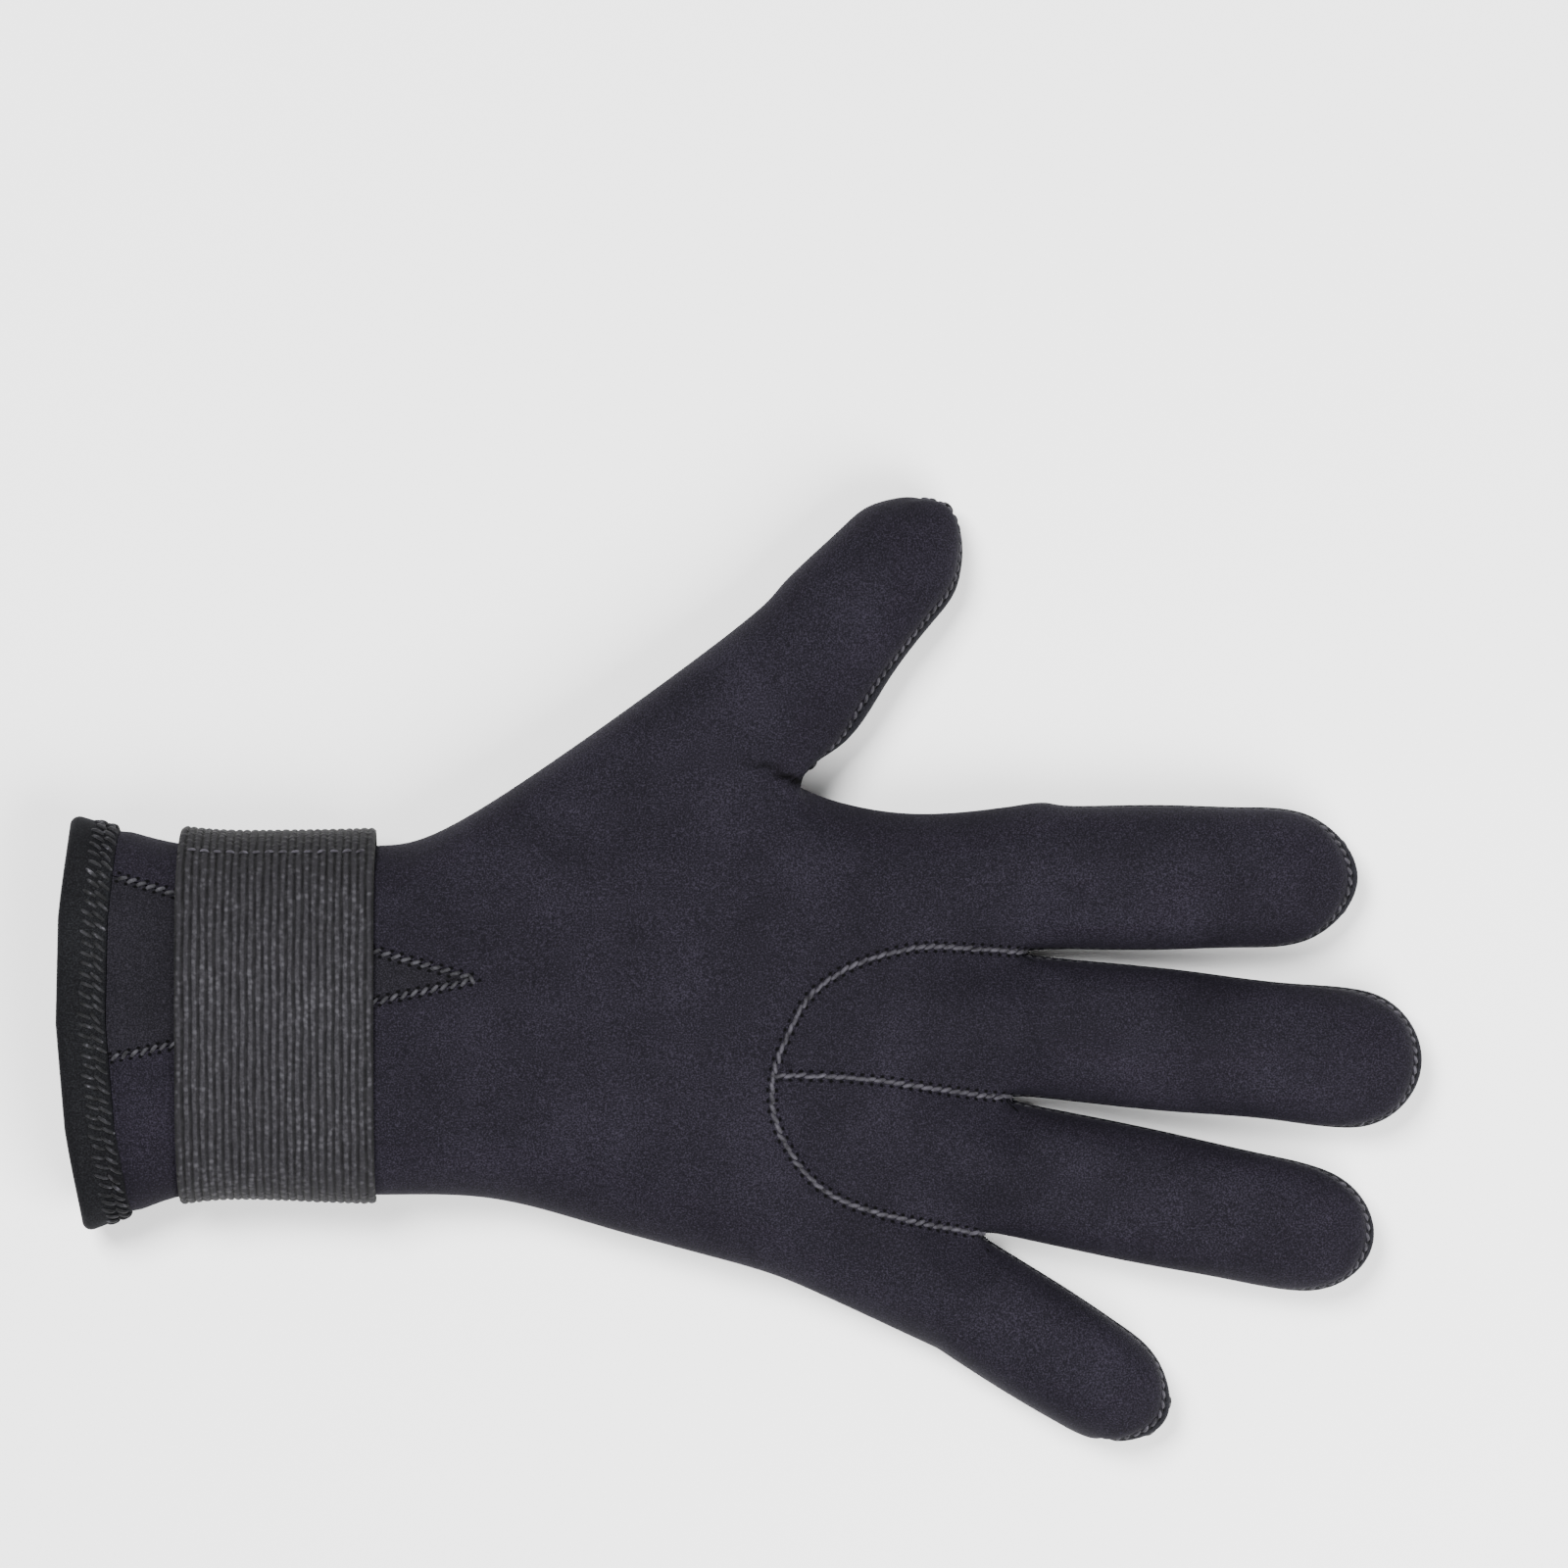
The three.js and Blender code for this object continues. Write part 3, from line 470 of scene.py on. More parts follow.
def crease(places, start, end, depth, reach):
    """A fold's depth: a valley along a straight line in plan, which runs out towards the line's end.
    The nearest point of the line is the place's shadow on it."""
    run = end - start
    share = np.clip((places[:, :2] - start) @ run / (run @ run), 0, 1)
    distance = np.linalg.norm(places[:, :2] - start - share[:, None] * run, axis=1)
    return dip(distance, depth, reach) * (1 - share)


# The real sheet never lies quite smooth: low hills all over the upper side, and two folds that run
# from the thumb's fork into the hand. The first fold is so narrow that its bottom also gets painted shade
# in the cloth's colour.
smooth_skin = skin.copy()
upward = np.clip(skin_normals[:, 2] * 2, 0, 1)
hills = 0.25 * lumps(skin, size=23, seed=3) + 0.12 * lumps(skin, size=9, seed=4)
folds = crease(skin, thumb_fork + (1, 0), thumb_fork + (-10, 4.5), depth=1.6, reach=1.1)
folds += crease(skin, thumb_fork + (-1, 3), thumb_fork + (-14, 14), depth=0.7, reach=2.2)
fold_painted_shade = crease(skin, thumb_fork + (1, 0), thumb_fork + (-12, 5.4), depth=1.6, reach=0.75).clip(0, 1)
valleys = dip(seam_distance, depth=0.55, reach=1.5)
skin = skin + skin_normals * (upward * (hills - folds) - valleys)[:, None]
skin[:, 2] = np.maximum(skin[:, 2], DOT_RISE)

skin_triangles = np.vstack([skin_quads[:, [0, 1, 2]], skin_quads[:, [0, 2, 3]]])
STITCH_PITCH = 2.0
# Seams of fewer points than this are strays. Only the skin this near to a seam keeps its place beside
# it, and the rest counts as far off.
SHORTEST_SEAM = 8
SEAM_BAND = 3
FAR_OFF = 100.0


def seam_lines(values, held):
    """The lines on the skin where values pass through zero, among the triangles that are held. Each
    crossed triangle joins two crossed edges, and the joined edges are followed from end to end."""
    crossed = (values[skin_triangles] < 0).sum(1) % 3 > 0
    triangles = skin_triangles[crossed & held[skin_triangles].all(1)]
    edges = np.stack([triangles, np.roll(triangles, -1, 1)], -1)
    cut = (values[edges] < 0).sum(-1) == 1
    pairs = np.sort(edges[cut], -1)
    ends, number = np.unique(pairs, axis=0, return_inverse=True)
    number = number.reshape(-1, 2)
    share = (values[ends[:, 0]] / (values[ends[:, 0]] - values[ends[:, 1]]))[:, None]
    points = np.hstack([skin, skin_normals])
    points = points[ends[:, 0]] + share * (points[ends[:, 1]] - points[ends[:, 0]])
    linked = {}
    for a, b in number.tolist():
        linked.setdefault(a, []).append(b)
        linked.setdefault(b, []).append(a)
    lines = []
    free = set(linked)
    while free:
        start = next((n for n in sorted(free) if len(linked[n]) == 1), min(free))
        chain = [start]
        free.discard(start)
        while True:
            onward = [n for n in linked[chain[-1]] if n in free]
            if not onward:
                break
            chain.append(onward[0])
            free.discard(onward[0])
        if start in linked[chain[-1]] and len(chain) > 2:
            chain.append(start)
        if len(chain) > SHORTEST_SEAM:
            lines.append(points[chain])
    return lines


def run_length(line):
    """Length along a line of places, up to each of them."""
    return np.concatenate([[0], np.cumsum(np.linalg.norm(np.diff(line, axis=0), axis=1))])


def spaced(line, pitch):
    """Frames at equal distances along a line of places and normals, after it is smoothed: place,
    direction along, direction across and normal, each for every step."""
    length = run_length(line[:, :3])
    fine = np.linspace(0, length[-1], max(int(length[-1] / 0.25), 8))
    dense = np.stack([np.interp(fine, length, column) for column in line.T], -1)
    padded = np.pad(dense, ((4, 4), (0, 0)), mode="edge")
    dense = np.mean([padded[k : k + len(dense)] for k in range(9)], 0)
    way = np.gradient(dense[:, :3], axis=0)
    count = max(int(round(length[-1] / pitch)), 1)
    at = (np.arange(count) + 0.5) * length[-1] / count
    place, normal, along = (
        np.stack([np.interp(at, fine, column) for column in part.T], -1)
        for part in (dense[:, :3], dense[:, 3:], way)
    )
    normal /= np.linalg.norm(normal, axis=1, keepdims=True)
    along -= normal * (along * normal).sum(1, keepdims=True)
    along /= np.linalg.norm(along, axis=1, keepdims=True)
    return place, along, np.cross(normal, along), normal


def beside_seams(places, lines):
    """For each place the nearest seam's run, in stitches, and the distance beside it: the place's
    shadows on the seam's direction and on the direction across it. Far places get a large distance."""
    pairs = np.full((len(places), 2), FAR_OFF)
    near = np.flatnonzero(seam_distance < SEAM_BAND)
    frames = [spaced(line, STITCH_PITCH / 2) for line in lines]
    run = np.concatenate([(np.arange(len(place)) + 0.5) / 2 for place, *_ in frames])
    centre, along, across, _ = (np.vstack(part) for part in zip(*frames))
    for part in np.array_split(near, 40):
        away = ((places[part, None].astype(np.float32) - centre.astype(np.float32)) ** 2).sum(-1)
        closest = away.argmin(1)
        offset = places[part] - centre[closest]
        pairs[part, 0] = run[closest] + (offset * along[closest]).sum(1) / STITCH_PITCH
        pairs[part, 1] = (offset * across[closest]).sum(1)
    return pairs


back_lines = seam_lines(inset_distance, on_back)
back_lines += seam_lines(centre_distance, on_back & (inset_distance < 0))
gusset_lines = seam_lines(gusset_distance, on_back & (hem_distance > 0))
palm_lines = seam_lines(palm_distance, np.ones(len(skin), bool))
seam_pairs = beside_seams(skin, back_lines + gusset_lines + palm_lines)

# Back of the hand. Smooth jersey-faced foam rubber 2.5 mm thick, with the backs of the index finger,
# little finger and thumb and the sleeve all round the wrist; glued and sewn to the others all round.
WALL = 2.5
SEAM_GAP = 0.2
FLOOR_CLEARANCE = 0.01
# Each point of the skin has its outer and inner place, what the cloth needs, and its seam values.
VALUES = {"hem": 9, "palm": 10, "inset": 11, "centre": 12, "gusset": 13}
skin_columns = np.column_stack([
    skin, smooth_skin - skin_normals * WALL, seam_pairs, fold_painted_shade,
    hem_distance, palm_distance, inset_distance, centre_distance, gusset_distance,
])


def clipped(columns, triangles, values):
    """The part of a triangle net where the values at its points are below zero. A triangle that the
    zero line crosses is cut, and its new points lie on its edges in proportion to the values."""
    inside = values[triangles] < 0
    count = inside.sum(1)
    turns = np.arange(3)
    one = triangles[count == 1]
    first = inside[count == 1].argmax(1)
    one = np.take_along_axis(one, (first[:, None] + turns) % 3, 1)
    two = triangles[count == 2]
    first = inside[count == 2].argmin(1)
    two = np.take_along_axis(two, (first[:, None] + turns) % 3, 1)
    cuts = np.vstack([one[:, [0, 1]], one[:, [0, 2]], two[:, [1, 0]], two[:, [2, 0]]])
    edges, number = np.unique(np.sort(cuts, 1), axis=0, return_inverse=True)
    number = number.ravel() + len(columns)
    start, end = edges.T
    share = values[start] / (values[start] - values[end])
    fresh = columns[start] + share[:, None] * (columns[end] - columns[start])
    near, far, left, right = np.split(number, np.cumsum([len(one), len(one), len(two)]))
    kept = np.vstack([
        triangles[count == 3],
        np.stack([one[:, 0], near, far], -1),
        np.stack([left, two[:, 1], two[:, 2]], -1),
        np.stack([left, two[:, 2], right], -1),
    ])
    used, numbers = np.unique(kept, return_inverse=True)
    return np.vstack([columns, fresh])[used], numbers.reshape(-1, 3)


def panel(*cuts):
    """The skin where each named value, times its sign, is below zero, with half a seam's gap left: a
    sign of 1 keeps the inside of an outline, and -1 the outside."""
    columns, triangles = skin_columns, skin_triangles
    for name, sign in cuts:
        values = sign * columns[:, VALUES[name]] + SEAM_GAP / 2
        columns, triangles = clipped(columns, triangles, values)
    return columns, triangles


def walled(outer, inner, triangles):
    """A closed wall between two surfaces with the same triangles: the inner one is turned over, and
    each free edge gets two triangles between the two."""
    count = len(outer)
    edges = np.vstack([triangles[:, [0, 1]], triangles[:, [1, 2]], triangles[:, [2, 0]]])
    free = edges[~np.isin(edges @ (count, 1), edges[:, ::-1] @ (count, 1))]
    a, b = free.T
    rim = np.vstack([np.stack([b, a, a + count], -1), np.stack([b, a + count, b + count], -1)])
    return np.vstack([outer, inner]), np.vstack([triangles, triangles[:, ::-1] + count, rim])


def made_piece(name, places, faces, material, slot, sharp=40):
    """Makes an object of the glove from places in millimetres and faces, shaded smooth except over
    edges sharper than an angle in degrees. It goes with the glove's one body."""
    mesh = bpy.data.meshes.new(name)
    on_floor = np.maximum(places, (-np.inf, -np.inf, FLOOR_CLEARANCE))
    mesh.from_pydata((on_floor + shift) * MM, [], faces)
    mesh.shade_smooth()
    mesh.set_sharp_from_angle(angle=np.radians(sharp))
    mesh.materials.append(material)
    piece = bpy.data.objects.new(name, mesh)
    bpy.context.scene.collection.objects.link(piece)
    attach(piece, "root")
    return piece


def seamed_sheet(name, cuts, material, slot, node):
    """A panel as a walled sheet in a cloth, which stands for a node of the frame. Its points keep
    their place beside the seam for the cloth's dimples, and the painted shade of the thumb's fold."""
    columns, triangles = panel(*cuts)
    places, faces = walled(columns[:, :3], columns[:, 3:6], triangles)
    sheet = made_piece(name, places, faces, material, slot)
    pairs = np.tile(columns[:, 6:9], (2, 1))
    pairs[len(columns):] = (0, FAR_OFF, 0)
    sheet.data.attributes.new("seam", "FLOAT_VECTOR", "POINT").data.foreach_set("vector", pairs.ravel())
    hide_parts(node)


def linear(code):
    """A colour code's red, green and blue as linear light, with full cover."""
    values = np.array([int(code[i : i + 2], 16) for i in (1, 3, 5)]) / 255
    light = np.where(values <= 0.04045, values / 12.92, ((values + 0.055) / 1.055) ** 2.4)
    return (*light.tolist(), 1)


def wired(node, sockets):
    """Sets a node's sockets to values, or links them to a socket or to a node's first output."""
    for socket, value in sockets.items():
        if isinstance(value, bpy.types.Node):
            value = value.outputs[0]
        if isinstance(value, bpy.types.NodeSocket):
            node.id_data.links.new(value, node.inputs[socket])
        else:
            node.inputs[socket].default_value = value
    return node


def added(material, kind, sockets=None, **settings):
    """Adds a node to a material, with its settings, and its sockets set or linked."""
    node = material.node_tree.nodes.new("ShaderNode" + kind)
    for name, value in settings.items():
        setattr(node, name, value)
    return wired(node, sockets or {})


def finish(name, **sockets):
    """A new material, its shader with sockets set to plain values, and the place on the object."""
    material = bpy.data.materials.new(name)
    material.use_nodes = True
    shader = material.node_tree.nodes["Principled BSDF"]
    wired(shader, {socket.replace("_", " "): value for socket, value in sockets.items()})
    return material, shader, added(material, "TexCoord").outputs["Object"]


def shades(material, factor, stops):
    """Colours by a value: a ramp through pairs of a position and a colour code."""
    node = added(material, "ValToRGB", {"Fac": factor})
    ramp = node.color_ramp
    for _ in stops[2:]:
        ramp.elements.new(0.5)
    for element, (position, code) in zip(ramp.elements, stops):
        element.position = position
        element.color = linear(code)
    return node


# A dimple's middle lies this far beside the seam. It is an oval with these half lengths along and
# across the seam, and between the two shares of them it fades out.
DIMPLE_ASIDE = 0.85
DIMPLE_LENGTH = 0.5
DIMPLE_WIDTH = 0.36
DIMPLE_FADE = (0.4, 1.3)
CLOUD_SIZE = 16.7


def jersey(name, dark, base, light, grain):
    """Nylon jersey over foam rubber: matte, speckled with lighter flecks that are partly the knit's grain
    and partly painted highlights where its loops catch the light, with a soft sheen on the curves. Its
    grain is the size in millimetres of the knit's flecks, drawn coarser than the real loops so that they
    show. Beside each seam the thread pulls it into a row of small dimples, one to a stitch, whose colour
    is darkened with painted shade; the bottom of the thumb's fold gets the same painted shade."""
    material, shader, where = finish(name, Roughness=0.8, Sheen_Weight=0.02, Sheen_Roughness=0.5,
                                     Sheen_Tint=linear("#b9b6cc"), Specular_IOR_Level=0.05)
    flecks = added(material, "TexNoise", {
        "Vector": where, "Scale": 1 / (grain * MM), "Detail": 2, "Roughness": 0.55})
    clouds = added(material, "TexNoise", {"Vector": where, "Scale": 1 / (CLOUD_SIZE * MM), "Detail": 2})
    speckle = added(material, "Math", {0: clouds, 1: 0.22, 2: flecks}, operation="MULTIPLY_ADD")
    colour = shades(material, speckle, [(0.38, dark), (0.6, base), (0.84, light)])
    pairs = added(material, "Attribute", attribute_name="seam").outputs["Vector"]
    seam = added(material, "SeparateXYZ", {0: pairs})
    run = added(material, "Math", {0: seam.outputs["X"], 1: 0.5}, operation="PINGPONG")
    run = added(material, "Math", {0: run, 1: STITCH_PITCH / DIMPLE_LENGTH}, operation="MULTIPLY")
    aside = added(material, "Math", {0: seam.outputs["Y"]}, operation="ABSOLUTE")
    aside = added(material, "Math", {0: aside, 1: DIMPLE_ASIDE}, operation="SUBTRACT")
    aside = added(material, "Math", {0: aside, 1: 1 / DIMPLE_WIDTH}, operation="MULTIPLY")
    spot = added(material, "CombineXYZ", {0: run, 1: aside})
    away = added(material, "VectorMath", {0: spot}, operation="LENGTH").outputs["Value"]
    dimple = added(material, "MapRange", {0: away, 1: DIMPLE_FADE[0], 2: DIMPLE_FADE[1], 3: 1.0, 4: 0.0},
                   interpolation_type="SMOOTHSTEP")
    # Painted shade: the dimples and the bottom of the thumb's fold are mixed towards near black in the
    # cloth's colour.
    painted_shade = added(material, "Math", {0: dimple, 1: seam.outputs["Z"]}, operation="MAXIMUM")
    shade_painted_colour = added(material, "Mix", {0: painted_shade, 6: colour, 7: linear("#010101")}, data_type="RGBA")
    sunk = added(material, "Math", {0: dimple, 1: -2.0, 2: flecks}, operation="MULTIPLY_ADD")
    bump = added(material, "Bump", {"Height": sunk, "Strength": 0.4, "Distance": 0.25 * MM})
    wired(shader, {"Base Color": shade_painted_colour.outputs[2], "Normal": bump})
    return material


neoprene = jersey("nylon_jersey_neoprene", "#09080c", "#121016", "#25222b", grain=0.32)
back_cuts = (("hem", -1), ("palm", -1), ("inset", -1), ("gusset", -1))
seamed_sheet("back_sheet", back_cuts, neoprene, "neoprene", "back_panel")

# Inset over the middle and ring fingers. Two more pieces of the same sheet, let into the back along a
# round seam and joined to each other along a straight one.
inset_cuts = (("palm", -1), ("inset", 1))
seamed_sheet("middle_finger_sheet", (*inset_cuts, ("centre", 1)), neoprene, "inset", "middle_finger_panel")
seamed_sheet("ring_finger_sheet", (*inset_cuts, ("centre", -1)), neoprene, "inset", "ring_finger_panel")

# Pointed insert of the wrist. A slightly thinner, greyer stretch jersey over foam rubber that lets
# the cuff widen, glued and sewn into a slit of the sleeve.
stretch = jersey("stretch_jersey", "#09080b", "#111014", "#222026", grain=0.3)
insert_cuts = (("hem", -1), ("palm", -1), ("gusset", 1))
seamed_sheet("wrist_insert", insert_cuts, stretch, "gusset", "cuff_gusset")

# Palm. The same foam rubber faced with jersey, which carries raised rubber dots in rows along the
# fingers. The dots are moulded on, a little dished, and shinier than the cloth between them.
palm_cloth = jersey("palm_jersey", "#08080b", "#101014", "#1f1e24", grain=0.34)
seamed_sheet("palm_sheet", (("hem", -1), ("palm", 1)), palm_cloth, "grip", "palm_panel")
DOT_PITCH = 4.6
DOT_WIDTH = 3.0
DOT_MARGIN = 0.5
RUBBER_GRAIN = 1.43
# Columns of dots under each finger, and how many more there are on each of its sides, in rows from
# the heel of the hand to beyond the fingertips. The thumb's rows and columns are centred on it.
DOT_COLUMNS = (6, 6, 6, 5)
SIDE_COLUMNS = 3
DOT_ROWS = np.arange(-26, 20)
THUMB_COLUMNS = np.arange(-3, 4)
THUMB_ROWS = np.arange(-7, 14)
# The lines that look for dots start this high inside the fingers and inside the thumb.
RAY_HEIGHT = 8.0
THUMB_RAY_HEIGHT = 6.0
# A finger is flat for this share of its width. Columns further out climb its side over this length.
FLAT_SHARE = 0.72
SIDE_CLIMB = 8.5
# The fingers' columns bend over this length of the palm until they run straight back.
PALM_BEND = 26.0
skin_tree = BVHTree.FromPolygons(skin.tolist(), skin_quads.tolist())


def dot_rays():
    """Where dots are looked for, as starts and directions of lines out of the hand. Columns a sixth
    of a finger's width apart run out along each finger, and back over the palm in a bend: there Y is a
    parabola that ends level, and from there on the column runs straight back. Outside the flat of
    the finger the columns go up its sides. The thumb has columns of its own."""
    starts, aims = [], []
    rows = DOT_ROWS * DOT_PITCH + DOT_PITCH / 2
    for i, count in enumerate(DOT_COLUMNS):
        half = finger_width[i] / 2 - 0.6
        lean = np.radians(finger_angle[i])
        for column in np.arange(-SIDE_COLUMNS, count + SIDE_COLUMNS):
            offset = (column + 0.5) * finger_width[i] / count - finger_width[i] / 2
            under = abs(offset) < finger_width[i] / 2
            along = rows[(rows < finger_length[i]) & (under | (rows > 2))]
            side = max(abs(offset) - FLAT_SHARE * half, 0)
            reach = np.sign(offset) * min(abs(offset), FLAT_SHARE * half + side * 0.4)
            height = np.interp(side, [0, SIDE_CLIMB], [0, SIDE_HEIGHT * FINGER_HEIGHT])
            out, back = np.maximum(along, 0), np.clip(-along, 0, PALM_BEND)
            rest = 1 - back / PALM_BEND
            straight = np.minimum(along + PALM_BEND, 0)
            x = out * np.cos(lean) - back * np.cos(lean * rest / 1.6) + straight
            y = (out - (1 - rest ** 2) * PALM_BEND / 2) * np.sin(lean)
            axis = (forks[i] + forks[i + 1]) / 2 + np.stack([x, y], -1)
            plan = axis + left_of(ways[i]) * reach
            start = raised(axis if side > 0 else plan, RAY_HEIGHT)
            starts.append(start)
            aims.append(raised(plan, height) - start)
    for offset in THUMB_COLUMNS * DOT_PITCH:
        along = THUMB_ROWS * DOT_PITCH
        plan = thumb_root + thumb_way * along[:, None] + left_of(thumb_way) * offset
        starts.append(raised(plan, THUMB_RAY_HEIGHT))
        aims.append(np.tile((0, 0, -1.0), (len(along), 1)))
    return np.vstack(starts), np.vstack(aims)


def dot_places():
    """Dots on the skin: where the lines meet it, if it faces down there, kept clear of the panel's
    edge and of each other."""
    found = []
    for start, aim in zip(*dot_rays()):
        place, normal, _, _ = skin_tree.ray_cast(Vector(start), Vector(aim).normalized(), 30)
        if place is not None:
            found.append((*place, *normal))
    found = np.array(found)
    found = found[(palm_value(found) < -DOT_WIDTH / 2 - DOT_MARGIN) & (found[:, 5] < -0.3)]
    apart = np.linalg.norm(found[:, None, :3] - found[:, :3], axis=-1)
    early = np.triu(apart < 0.8 * DOT_PITCH, 1)
    keep = np.ones(len(found), bool)
    for i in range(len(found)):
        keep[i] = not (early[:i, i] & keep[:i]).any()
    return found[keep, :3], found[keep, 3:]


def copies(shape, faces, places, axes):
    """One shape set down at many places: its points are turned by each place's three axes."""
    points = places[:, None] + np.einsum("pk,nkc->npc", shape, axes)
    numbers = faces + np.arange(len(places))[:, None, None] * len(shape)
    return points.reshape(-1, 3), numbers.reshape(-1, faces.shape[1])


def ring_walls(grid):
    """Triangles between rings of point numbers, each ring joined to the next, which face outwards."""
    a, b = grid[:-1], grid[1:]
    c, d = np.roll(a, -1, 1), np.roll(b, -1, 1)
    return np.vstack([np.stack([a, c, b], -1).reshape(-1, 3), np.stack([c, d, b], -1).reshape(-1, 3)])


def turned(profile, sides, sink):
    """A round shape: a profile of radius and height turned round its axis, each end closed by a fan,
    the last one with its middle sunk by a depth."""
    angle = np.arange(sides) * 2 * np.pi / sides
    radius, height = np.array(profile).T
    ring = np.stack([np.cos(angle), np.sin(angle)], -1)
    points = raised(radius[:, None, None] * ring, height[:, None]).reshape(-1, 3)
    grid = np.arange(len(points)).reshape(-1, sides)
    low = np.stack([np.full(sides, len(points)), np.roll(grid[0], -1), grid[0]], -1)
    top = np.stack([grid[-1], np.roll(grid[-1], -1), np.full(sides, len(points) + 1)], -1)
    middles = [(0, 0, height[0]), (0, 0, height[-1] - sink)]
    return np.vstack([points, middles]), np.vstack([ring_walls(grid), low, top])


dots, dot_normals = dot_places()
sideways = np.cross(dot_normals, (0.0, 1.0, 0.3))
sideways /= np.linalg.norm(sideways, axis=1, keepdims=True)
dot_axes = np.stack([sideways, np.cross(dot_normals, sideways), dot_normals], 1)
dot_profile = [(DOT_WIDTH / 2, -0.25), (1.48, 0.15), (1.3, 0.33), (1.05, DOT_RISE), (0.7, 0.24)]
dot_shape = turned(dot_profile, sides=12, sink=0.06)
# Moulded rubber is nearly black and smooth, so each dot carries a soft highlight.
rubber, rubber_shader, where = finish("moulded_rubber", Roughness=0.3, Specular_IOR_Level=0.4)
worn = added(rubber, "TexNoise", {"Vector": where, "Scale": 1 / (RUBBER_GRAIN * MM), "Detail": 3})
wired(rubber_shader, {"Base Color": shades(rubber, worn, [(0.35, "#0c0c0e"), (0.7, "#17161a")])})
made_piece("grip_dots", *copies(*dot_shape, dots, dot_axes), rubber, "grip")

# Seam threads. Heavy grey polyester thread is sewn over each seam in short slanting stitches, which
# pull the cloth into small dimples on both sides. Low on the fingers' sides it is sunk in the seam.
STITCH_STEPS = 7
STITCH_SIDES = 6
# A stitch's ends dive this deep into the cloth, and thin out by this share of its width.
END_DEPTH = 0.25
END_TAPER = 0.85
# Hand-fed sewing is never quite even: the slant differs by degrees, and the place beside the seam.
SLANT_SPREAD = 5
PLACE_SPREAD = 0.06
STRAND_SIZE = 1.54


def stitch(length, thickness, rise):
    """One stitch along X: a round thread that comes up out of the cloth, arches over by a parabola
    and goes down again, thinner at both ends."""
    run = np.linspace(-1, 1, STITCH_STEPS)
    arch = rise * (1 - run ** 2) - END_DEPTH * run ** 4
    spine = np.stack([run * length / 2, np.zeros(STITCH_STEPS), arch], -1)
    radius = thickness / 2 * np.sqrt(1 - (END_TAPER * run) ** 2)
    angle = np.arange(STITCH_SIDES) * 2 * np.pi / STITCH_SIDES
    ring = np.stack([np.zeros(STITCH_SIDES), np.cos(angle), np.sin(angle)], -1)
    points = (spine[:, None] + radius[:, None, None] * ring).reshape(-1, 3)
    grid = np.arange(len(points)).reshape(STITCH_STEPS, STITCH_SIDES)
    fan = np.array([(0, k, k + 1) for k in range(1, STITCH_SIDES - 1)])
    return points, np.vstack([ring_walls(grid), fan[:, ::-1], fan + grid[-1, 0]])


def stitched(frames, slant, shape, sway=0.0):
    """Stitches at frames along a seam, turned by a slant in degrees, each a little differently, and
    by turns to one side of it and the other by a sway."""
    place, along, across, normal = frames
    count = len(place)
    random = np.random.default_rng(count)
    angle = np.radians(slant + random.normal(0, SLANT_SPREAD, count))[:, None]
    way = along * np.cos(angle) + across * np.sin(angle)
    axes = np.stack([way, np.cross(normal, way), normal], 1)
    side = sway * np.where(np.arange(count) % 2 == 1, 1, -1)
    aside = side + random.normal(0, PLACE_SPREAD, count)
    return copies(*shape, place + across * aside[:, None], axes)


def joined(parts):
    """Several point and face arrays as one."""
    starts = np.cumsum([0] + [len(points) for points, _ in parts])
    faces = [faces + start for (_, faces), start in zip(parts, starts)]
    return np.vstack([points for points, _ in parts]), np.vstack(faces)


def sewing_thread(name, stops):
    """Spun polyester thread: matte, lighter and darker by turns, partly random tone and partly painted
    highlights where its strands catch the light. Its stops are pairs of a position and a colour code."""
    material, shader, where = finish(name, Roughness=0.7, Sheen_Weight=0.05, Specular_IOR_Level=0.12)
    strands = added(material, "TexNoise", {
        "Vector": where, "Scale": 1 / (STRAND_SIZE * MM), "Detail": 3, "Roughness": 0.6})
    wired(shader, {"Base Color": shades(material, strands, stops)})
    return material


def sewn(name, rows, material, slot):
    """One piece of all the stitches of some rows: frames, slant in degrees and shape of each."""
    return made_piece(name, *joined([stitched(*row) for row in rows]), material, slot)


long_stitch = stitch(length=2.6, thickness=0.85, rise=0.25)
slim_stitch = stitch(length=2.2, thickness=0.8, rise=0.3)
sunk_stitch = stitch(length=2.0, thickness=0.6, rise=-0.05)
edge_stitch = stitch(length=2.3, thickness=0.7, rise=0.12)
back_frames, wrist_frames, side_frames = (
    [spaced(line, STITCH_PITCH) for line in lines] for lines in (back_lines, gusset_lines, palm_lines))
grey_thread = sewing_thread("grey_thread", [(0.3, "#121114"), (0.72, "#403e45")])
sewn("back_thread", [(frames, 13, long_stitch) for frames in back_frames], grey_thread, "neoprene")
dark_thread = sewing_thread("dark_thread", [(0.3, "#0f0f11"), (0.72, "#3c3b40")])
sewn("wrist_thread", [(frames, 32, slim_stitch) for frames in wrist_frames], dark_thread, "gusset")

# The seam between back and palm is seen from above on the thumb and round the fingertips only.
seen = [(place[:, 1] > thumb_fork[1] + 0.5) | (near_tip(place) > 0.3) for place, *_ in side_frames]
sunk_frames = [[part[~held] for part in frames] for frames, held in zip(side_frames, seen)]
edge_frames = [[part[held] for part in frames] for frames, held in zip(side_frames, seen)]
sewn("side_thread", [(frames, 30, sunk_stitch) for frames in sunk_frames], dark_thread, "grip")
sewn("edge_thread", [(frames, 38, edge_stitch) for frames in edge_frames], grey_thread, "grip")

# Cuff hem. The edge of the sleeve is turned in and sewn down all round with two close columns of
# slanting stitches, which pull the fold into a shallow groove.
HEM_WALL = 3.6
HEM_GROOVE = 7.6
# The wrist's net rows run round the sleeve, so its surface there is a plain sum of curves.
COLUMNS = 20
ROW_PITCH = 19
wrist_rows = cage[:10 * COLUMNS].reshape(10, COLUMNS, 3)[:7]
HEM_STEPS = 400
hem_turns = np.arange(HEM_STEPS) * COLUMNS / HEM_STEPS


